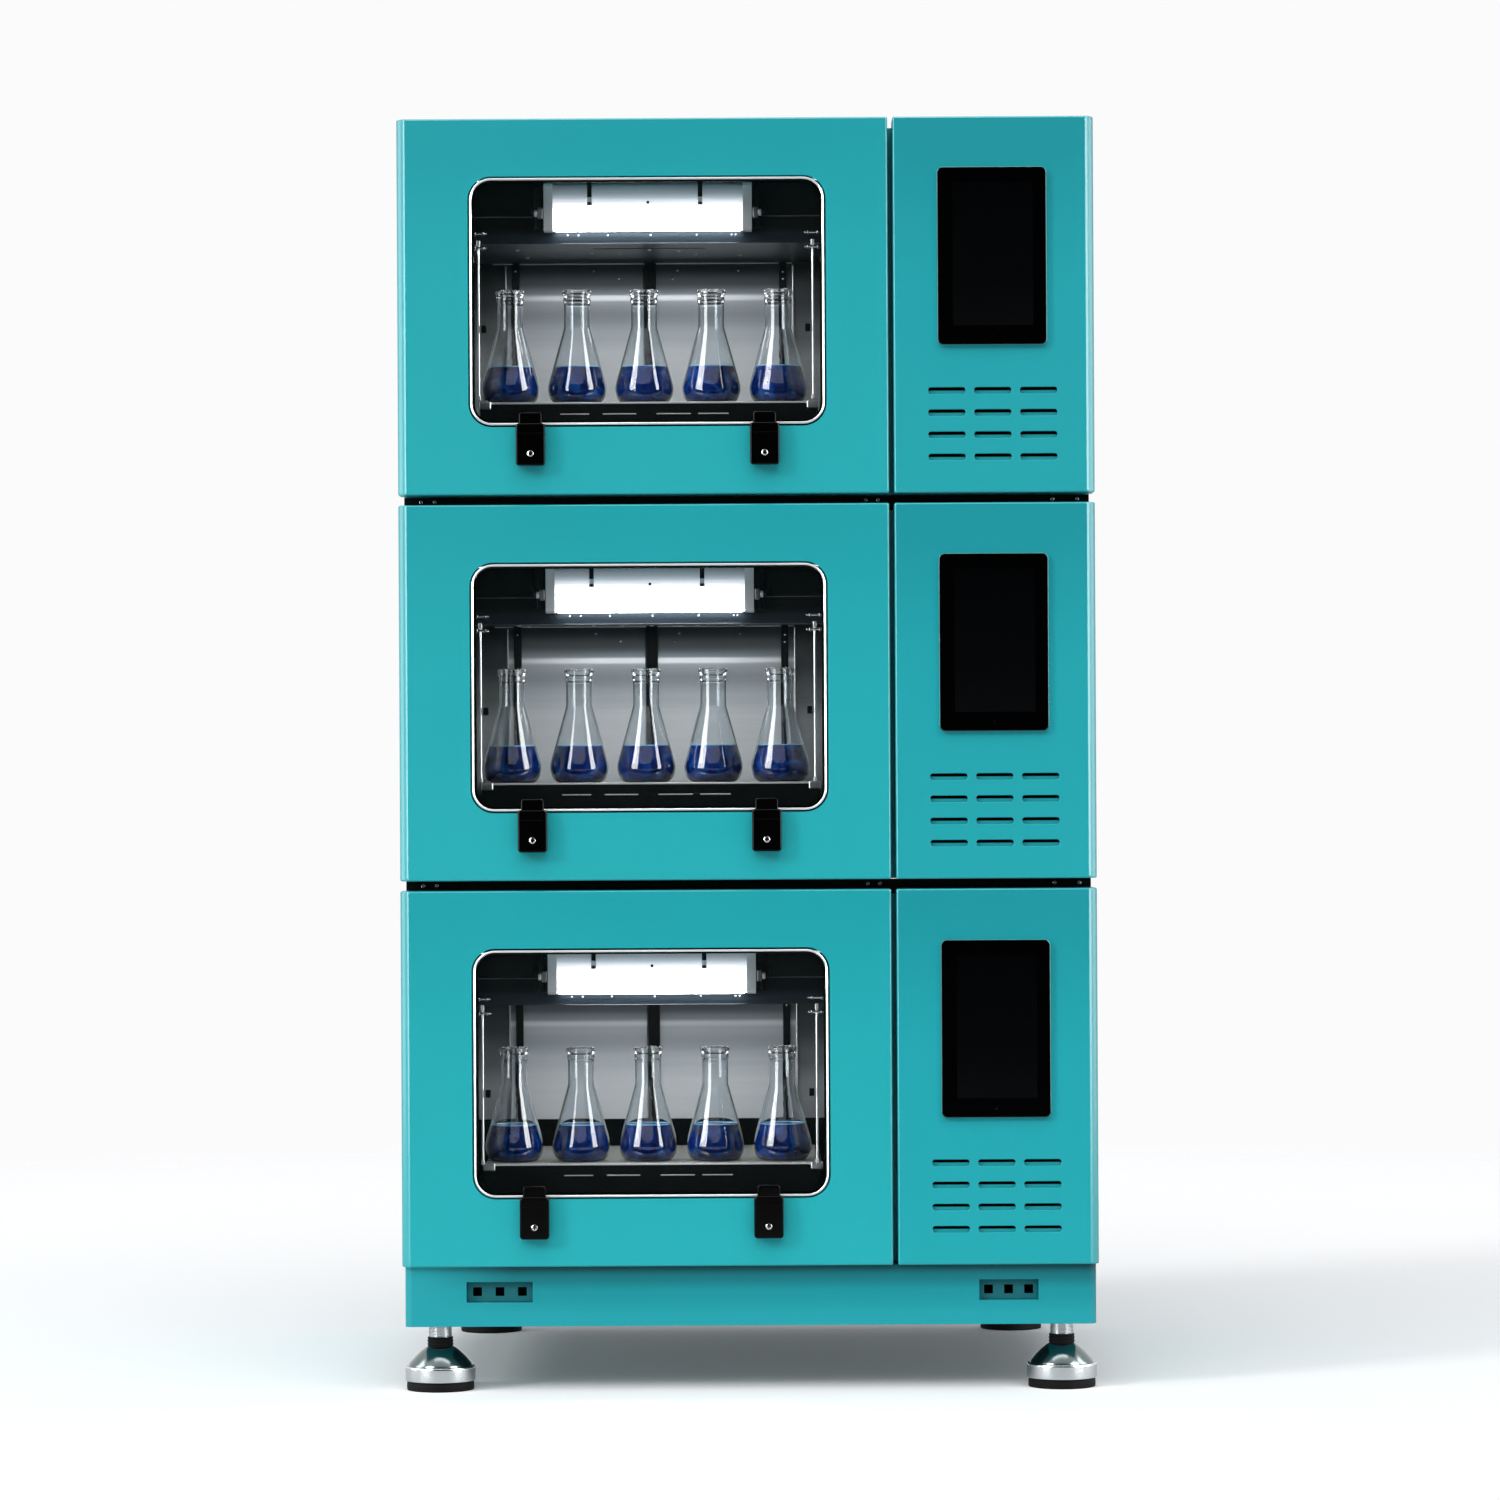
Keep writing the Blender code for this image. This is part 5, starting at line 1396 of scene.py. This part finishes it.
climb = ((0.0018, 0.0), (0.0003, 0.0009), (0.0001, 0.0013), (0.0, 0.0002), (0.0018, 0.0))
rim = [(level_radius - inward, level_height + height) for inward, height in climb]
glassware, liquid, rims = [], [], []
for place_in_row in range(-2, 3):
    spot = (row_x + place_in_row * flask_spacing, row_y, stand_z)
    for made, outline in ((glassware, flask_outer + flask_inner), (liquid, fill), (rims, rim)):
        made.append(spun(outline, spot, steps=64))
fit_each("flasks", joined(*glassware), ["flask glass"], "{u}_platform", sharp=60)
fit_each("culture", joined(*liquid), ["blue culture"], "{u}_platform", sharp=50)
fit_each("culture_rims", joined(*rims), ["liquid edge"], "{u}_platform", sharp=60)

# %% [markdown]
# ## What stays as a solid
# The fan, the drive and its cranks sit behind the plenum and under the platform, where
# only their outline is seen. They keep their solids and only get finishes and eased edges.

# %% Drive, fan, plenum and liner
hidden_parts = {
    "chamber_liner": ("chamber steel in painted light and shade", 0.0006), "ceiling_plenum": ("plenum underside", 0.0006),
    "drive_base": ("cast aluminium", 0.0010), "drive_motor": ("motor casing", 0.0010),
    "circulation_fan": ("motor casing", 0.0004), "drive_crank": ("cast aluminium", 0.0008),
    "idler_crank": ("cast aluminium", 0.0008), "cabinet_shell": ("cabinet enamel", 0.0012),
}
for unit in units:
    for part, (label, ease) in hidden_parts.items():
        dress(f"{unit}_{part}", label, ease)
print("solids dressed:", len(hidden_parts) * len(units))

# %% [markdown]
# ## Outside of the cabinets
# Each cabinet's back carries two ladders of louvres, so each slot gets a small pressed
# hood. Screws line the back panel and the sides, and a power inlet sits low on the left.
# In the gaps between cabinets, seen from the front, a few bright bolt heads show.

# %% Louvre hoods, screws and inlet
shell_low, shell_high = solid("cabinet_shell")
back_face = shell_high.y
louvre_width, louvre_height, louvre_pitch, louvre_first = 0.160, 0.014, 0.026, 0.100


def hood(x, z):
    """A pressed hood over one slot, open below."""
    bm = bmesh.new()
    profile = (
        (0.0, louvre_height + 0.0030), (0.0040, louvre_height * 0.35), (0.0046, 0.0010), (0.0036, 0.0008),
        (0.0, louvre_height + 0.0008),
    )
    ends = []
    for side_x, drawn in ((x, 1), (x + 0.004, 0), (x + louvre_width - 0.004, 0), (x + louvre_width, 1)):
        reach = 0.05 if drawn else 1.0
        ends.append(
            [
                bm.verts.new((side_x, back_face + 0.0002 + depth * reach, z + height))
                for depth, height in profile
            ]
        )
    for one, other in zip(ends, ends[1:]):
        for index in range(len(profile)):
            after = (index + 1) % len(profile)
            bm.faces.new((one[index], one[after], other[after], other[index]))
    bm.faces.new(ends[0])
    bm.faces.new(ends[-1])
    bmesh.ops.recalc_face_normals(bm, faces=bm.faces)
    return bm


hoods = []
louvre_margin, fascia_span = 0.064, 0.268
for x in (door_low.x + louvre_margin, door_high.x + fascia_span - louvre_margin - louvre_width):
    for row in range(4):
        hoods.append(hood(x, louvre_first + row * louvre_pitch))
fit_each("louvre_hoods", joined(*hoods), ["cabinet enamel"], "stack", sharp=40)

back_screws = []
screw_radius, screw_rows = 0.0042, (0.020, 0.462)
for x in (-0.435, -0.220, 0.0, 0.220, 0.435):
    back_screws += [dome(x, back_face + 0.0001, z, screw_radius, (0, 1, 0)) for z in screw_rows]
for side in (-1, 1):
    side_face = side * (shell_high.x + 0.0001)
    for y in (0.110, 0.330, 0.560, 0.790):
        back_screws += [dome(side_face, y, z, screw_radius, (side, 0, 0)) for z in screw_rows]
fit_each("panel_screws", joined(*back_screws), ["turned steel"], "stack", sharp=60)
inlet = block((-0.415, back_face + 0.0002, 0.026), (-0.359, back_face + 0.0058, 0.070), 0.0018)
socket = block((-0.407, back_face + 0.0020, 0.034), (-0.379, back_face + 0.0080, 0.060), 0.0012)
rocker = block((-0.373, back_face + 0.0050, 0.038), (-0.364, back_face + 0.0074, 0.058), 0.0010)
inlet = joined(cut(inlet, socket), rocker)
for x in (-0.400, -0.386):
    inlet = joined(
        inlet,
        block((x - 0.0010, back_face + 0.0016, 0.043), (x + 0.0010, back_face + 0.0050, 0.050), 0.0003, 1),
    )
fit_each("power_inlet", inlet, ["satin black"], "stack", sharp=40)

for unit, rise in list(zip(units, rises))[1:]:
    bolts = []
    for x in (-0.4260, -0.4080, 0.1560, 0.1722, 0.4006, 0.4330):
        bolts.append(rod((x, 0.0490, -0.0068), (x, 0.0551, -0.0068), 0.0026, 6, 0.0004))
    # A black strip across the gap below the cabinet: painted shade, so the gap looks dark from the front.
    strip = block((shell_low.x + 0.001, 0.0553, -0.0200), (shell_high.x - 0.001, 0.0566, -0.0006), 0.0004, 1)
    fit(f"{unit}_gap_shade_strip", raised(strip, rise), ["satin black"], "stack", sharp=50)
    fit(
        f"{unit}_seat_bolts", raised(joined(*bolts), rise), ["turned steel"], "stack",
        sharp=50,
    )

# %% [markdown]
# ## Plinth and feet
# The plinth is a plain folded box with two recesses in its front, each with three dark
# square sockets. Each foot is turned: a rubber pad, a bright steel ring, a dark glossy
# cone, a beaded neck and a threaded stem that runs up into the plinth.

# %% Plinth
dress("plinth", "plinth enamel", 0.0012)
plinth_low, plinth_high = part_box("plinth")
niche_z = plinth_low.z + 0.0447
for label, centre, width in (("left", -0.3270, 0.086), ("right", 0.3361, 0.077)):
    y = plinth_low.y + 0.0118
    low_z, high_z = niche_z - 0.0130, niche_z + 0.0130
    plate = block(
        (centre - width / 2 + 0.0006, y - 0.0012, low_z), (centre + width / 2 - 0.0006, y - 0.0002, high_z),
        0.0003, 1,
    )
    spots = [centre + step * width * 0.34 for step in (-1, 0, 1)]
    sockets = [
        block(
            (x - 0.0058, y - 0.004, niche_z - 0.0058), (x + 0.0058, y + 0.004, niche_z + 0.0058),
        ) for x in spots
    ]
    fit(f"{label}_niche_plate", cut(plate, *sockets), ["niche enamel in painted shade"], "stack", sharp=40)
    inserts = [
        block(
            (x - 0.0057, y - 0.0009, niche_z - 0.0057), (x + 0.0057, y - 0.0002, niche_z + 0.0057), 0.0002, 1,
        )
        for x in spots
    ]
    fit(f"{label}_niche_sockets", joined(*inserts), ["matt black"], "stack", sharp=40)

# %% Feet
thread = []
for turn in range(8):
    low = 0.0700 + turn * 0.0018
    thread += [(0.0139, low), (0.0152, low + 0.0005), (0.0152, low + 0.0009), (0.0139, low + 0.0014)]
foot_outline = [
    (0.0, 0.0), (0.0432, 0.0), (0.0438, 0.0010), (0.0440, 0.0060), (0.0436, 0.0108), (0.0428, 0.0116),
    (0.0448, 0.0118), (0.0456, 0.0126), (0.0458, 0.0150), (0.0458, 0.0285), (0.0455, 0.0303),
    (0.0446, 0.0311), (0.0420, 0.0313), (0.0415, 0.0320), (0.0404, 0.0345), (0.0335, 0.0425),
    (0.0258, 0.0498), (0.0196, 0.0545), (0.0166, 0.0560), (0.0160, 0.0566), (0.0168, 0.0582),
    (0.0170, 0.0598), (0.0160, 0.0610), (0.0168, 0.0626), (0.0170, 0.0642), (0.0160, 0.0656),
    (0.0166, 0.0668), (0.0168, 0.0680), (0.0156, 0.0690), *thread, (0.0150, 0.0846), (0.0150, 0.1246),
    (0.0, 0.1246),
]
foot_bands = ((0.0117, 0), (0.0312, 1), (0.0561, 2), (0.0690, 0), (1.0, 3))
for corner_name in ("front_left", "front_right", "rear_left", "rear_right"):
    low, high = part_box(f"{corner_name}_foot")
    foot = spun(foot_outline, ((low.x + high.x) / 2, (low.y + high.y) / 2, 0), steps=72)
    for face in foot.faces:
        height = sum(vert.co.z for vert in face.verts) / len(face.verts)
        face.material_index = next(index for limit, index in foot_bands if height < limit)
    fit(
        f"{corner_name}_levelling_foot", foot, ["black rubber", "turned steel", "foot cone", "turned steel"],
        f"{corner_name}_foot", [f"{corner_name}_foot"], 40,
    )
print("pieces on the object:", piece_count)

# %% [markdown]
# ## Floor and background
# The stack stands on a pale studio floor that fades into a white background. The floor
# glows a little, so it stays near white, and still takes a soft shadow.

# %% Floor
floor_mesh = bmesh.new()
bmesh.ops.create_grid(floor_mesh, x_segments=24, y_segments=24, size=9)
floor = held(floor_mesh, "studio_floor")
floor_finish = finish(
    "studio floor", tint=colour(248, 248, 249), drift=0.006, drift_size=0.8, pit_size=60.0, roughness=0.8,
    roughness_drift=0.05,
    shader_values={
        "Specular IOR Level": 0.05, "Emission Color": colour(255, 255, 255), "Emission Strength": 0.09,
    },
)
tree = floor_finish.node_tree
shader = tree.nodes["Principled BSDF"]
camera_ray = node(tree, "ShaderNodeLightPath").outputs["Is Camera Ray"]
thrown_back = mix_colour(
    tree, camera_ray, colour(206, 207, 208), shader.inputs["Base Color"].links[0].from_socket,
)
tree.links.new(thrown_back, shader.inputs["Base Color"])
place = node(tree, "ShaderNodeTexCoord").outputs["Object"]
away = node(tree, "ShaderNodeVectorMath", {0: place}, operation="LENGTH").outputs["Value"]
fade = ramp(tree, math_node(tree, "DIVIDE", away, 8.0), [(0.25, (1, 1, 1, 1)), (0.62, (0, 0, 0, 1))])
tree.links.new(fade, shader.inputs["Alpha"])
floor.data.materials.append(floor_finish)
floor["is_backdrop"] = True

# %% [markdown]
# The background is white to the camera. Metal and glass show the same white behind and
# beside the object, but a dark room on the camera's side, as in a real studio: that keeps
# black parts black. The light it throws is a gentler grey, so the enamel isn't washed out.

# %% Background
world = bpy.data.worlds.new("white studio")
bpy.context.scene.world = world
world.use_nodes = True
tree = world.node_tree
background = tree.nodes["Background"]
path_kind = node(tree, "ShaderNodeLightPath")
glossy, through_glass = path_kind.outputs["Is Glossy Ray"], path_kind.outputs["Is Transmission Ray"]
mirror_or_glass = math_node(tree, "MAXIMUM", glossy, through_glass)
direction = node(tree, "ShaderNodeTexCoord").outputs["Generated"]
depthwise = node(tree, "ShaderNodeSeparateXYZ", {0: direction}).outputs[1]
backward = math_node(tree, "MULTIPLY_ADD", depthwise, 0.5, 0.5)
mirrored = ramp(tree, backward, [(0.10, colour(46, 47, 48)), (0.40, colour(251, 251, 252))])
around = mix_colour(tree, mirror_or_glass, colour(164, 166, 168), mirrored)
tree.links.new(
    mix_colour(tree, path_kind.outputs["Is Camera Ray"], around, colour(251, 251, 252)),
    background.inputs["Color"]
)
background.inputs["Strength"].default_value = 1.0

# %% [markdown]
# ## Lights
# A wide soft sky in front lights everything evenly, and a smaller one low on the left
# throws the short shadows beside the latches and the pale one on the floor. Four tall
# softboxes and one overhead are seen only in gloss: they draw the upright highlights on
# the flasks and the pale bands on rolled edges. A small light under each plenum stands
# for the lamp's light thrown round the chamber.


# %% Lights
def soft_light(name, place, target, width, height, power):
    lamp = bpy.data.lights.new(name, "AREA")
    lamp.shape, lamp.size, lamp.size_y = "RECTANGLE", width, height
    lamp.energy = power
    obj = bpy.data.objects.new(name, lamp)
    obj.location = place
    obj.rotation_euler = (Vector(target) - Vector(place)).to_track_quat("-Z", "Y").to_euler()
    bpy.context.scene.collection.objects.link(obj)
    return obj


def sun_light(name, round_to, height, spread, strength):
    """A very soft sun, placed by its angle round from the front and its height."""
    lamp = bpy.data.lights.new(name, "SUN")
    lamp.energy, lamp.angle = strength, math.radians(spread)
    obj = bpy.data.objects.new(name, lamp)
    obj.rotation_euler = (math.radians(90 - height), 0, math.radians(round_to))
    obj.visible_glossy = False
    bpy.context.scene.collection.objects.link(obj)


softbox_distance = 3.4
sun_light("front sky", -4, 55, 70, 1.85)
sun_light("left sky", -55, 26, 14, 0.95)
for name, round_to, height, width, tall, power in (
    ("left softbox", -51, 2.3, 1.7, 4.4, 240), ("right softbox", 60, 2.3, 1.7, 4.4, 240),
    ("left edge light", -93, 1.9, 1.3, 3.6, 62), ("right edge light", 93, 1.9, 1.3, 3.6, 62),
):
    turn = math.radians(round_to)
    shine = soft_light(
        name, (softbox_distance * math.sin(turn), -0.3 - softbox_distance * math.cos(turn), height),
        (0, -0.3, height - 0.3), width, tall, power,
    )
    shine.visible_diffuse = False
overhead = soft_light("overhead light", (0, -0.5, 4.6), (0, -0.5, 0), 3.2, 1.6, 60)
overhead.visible_diffuse = False
for unit, rise in zip(units, rises):
    spot = corner + Vector((window_x, 0.300, rise + 0.334))
    inside = soft_light(f"{unit} chamber light", spot, spot - Vector((0, 0, 1)), 0.42, 0.06, 0.5)
    inside.visible_camera = False

# %% [markdown]
# ## Camera
# The view is level and nearly straight on, seven metres from the front, which keeps the
# uprights parallel. A small shift puts the stack where it belongs in the square frame.

# %% Camera
camera_data = bpy.data.cameras.new("front view")
camera_data.lens, camera_data.sensor_width = 129.24, 36.0
picture_side, pixels_up = 1500, 25
camera_data.shift_y = pixels_up / picture_side
camera_data.clip_end = 60
camera = bpy.data.objects.new("front view", camera_data)
camera_distance, camera_height = 7.0, 0.8013
camera.location = (0.0026, corner.y - camera_distance, camera_height)
camera.rotation_euler = (math.radians(90), math.radians(0.31), 0)
bpy.context.scene.collection.objects.link(camera)
bpy.context.scene.camera = camera
bpy.context.scene.view_settings.view_transform = "Standard"

# %% [markdown]
# ## Size of the dressed model
# The dressed model should span what its solids span. Its bounds are measured here.

# %% Size
low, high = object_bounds()
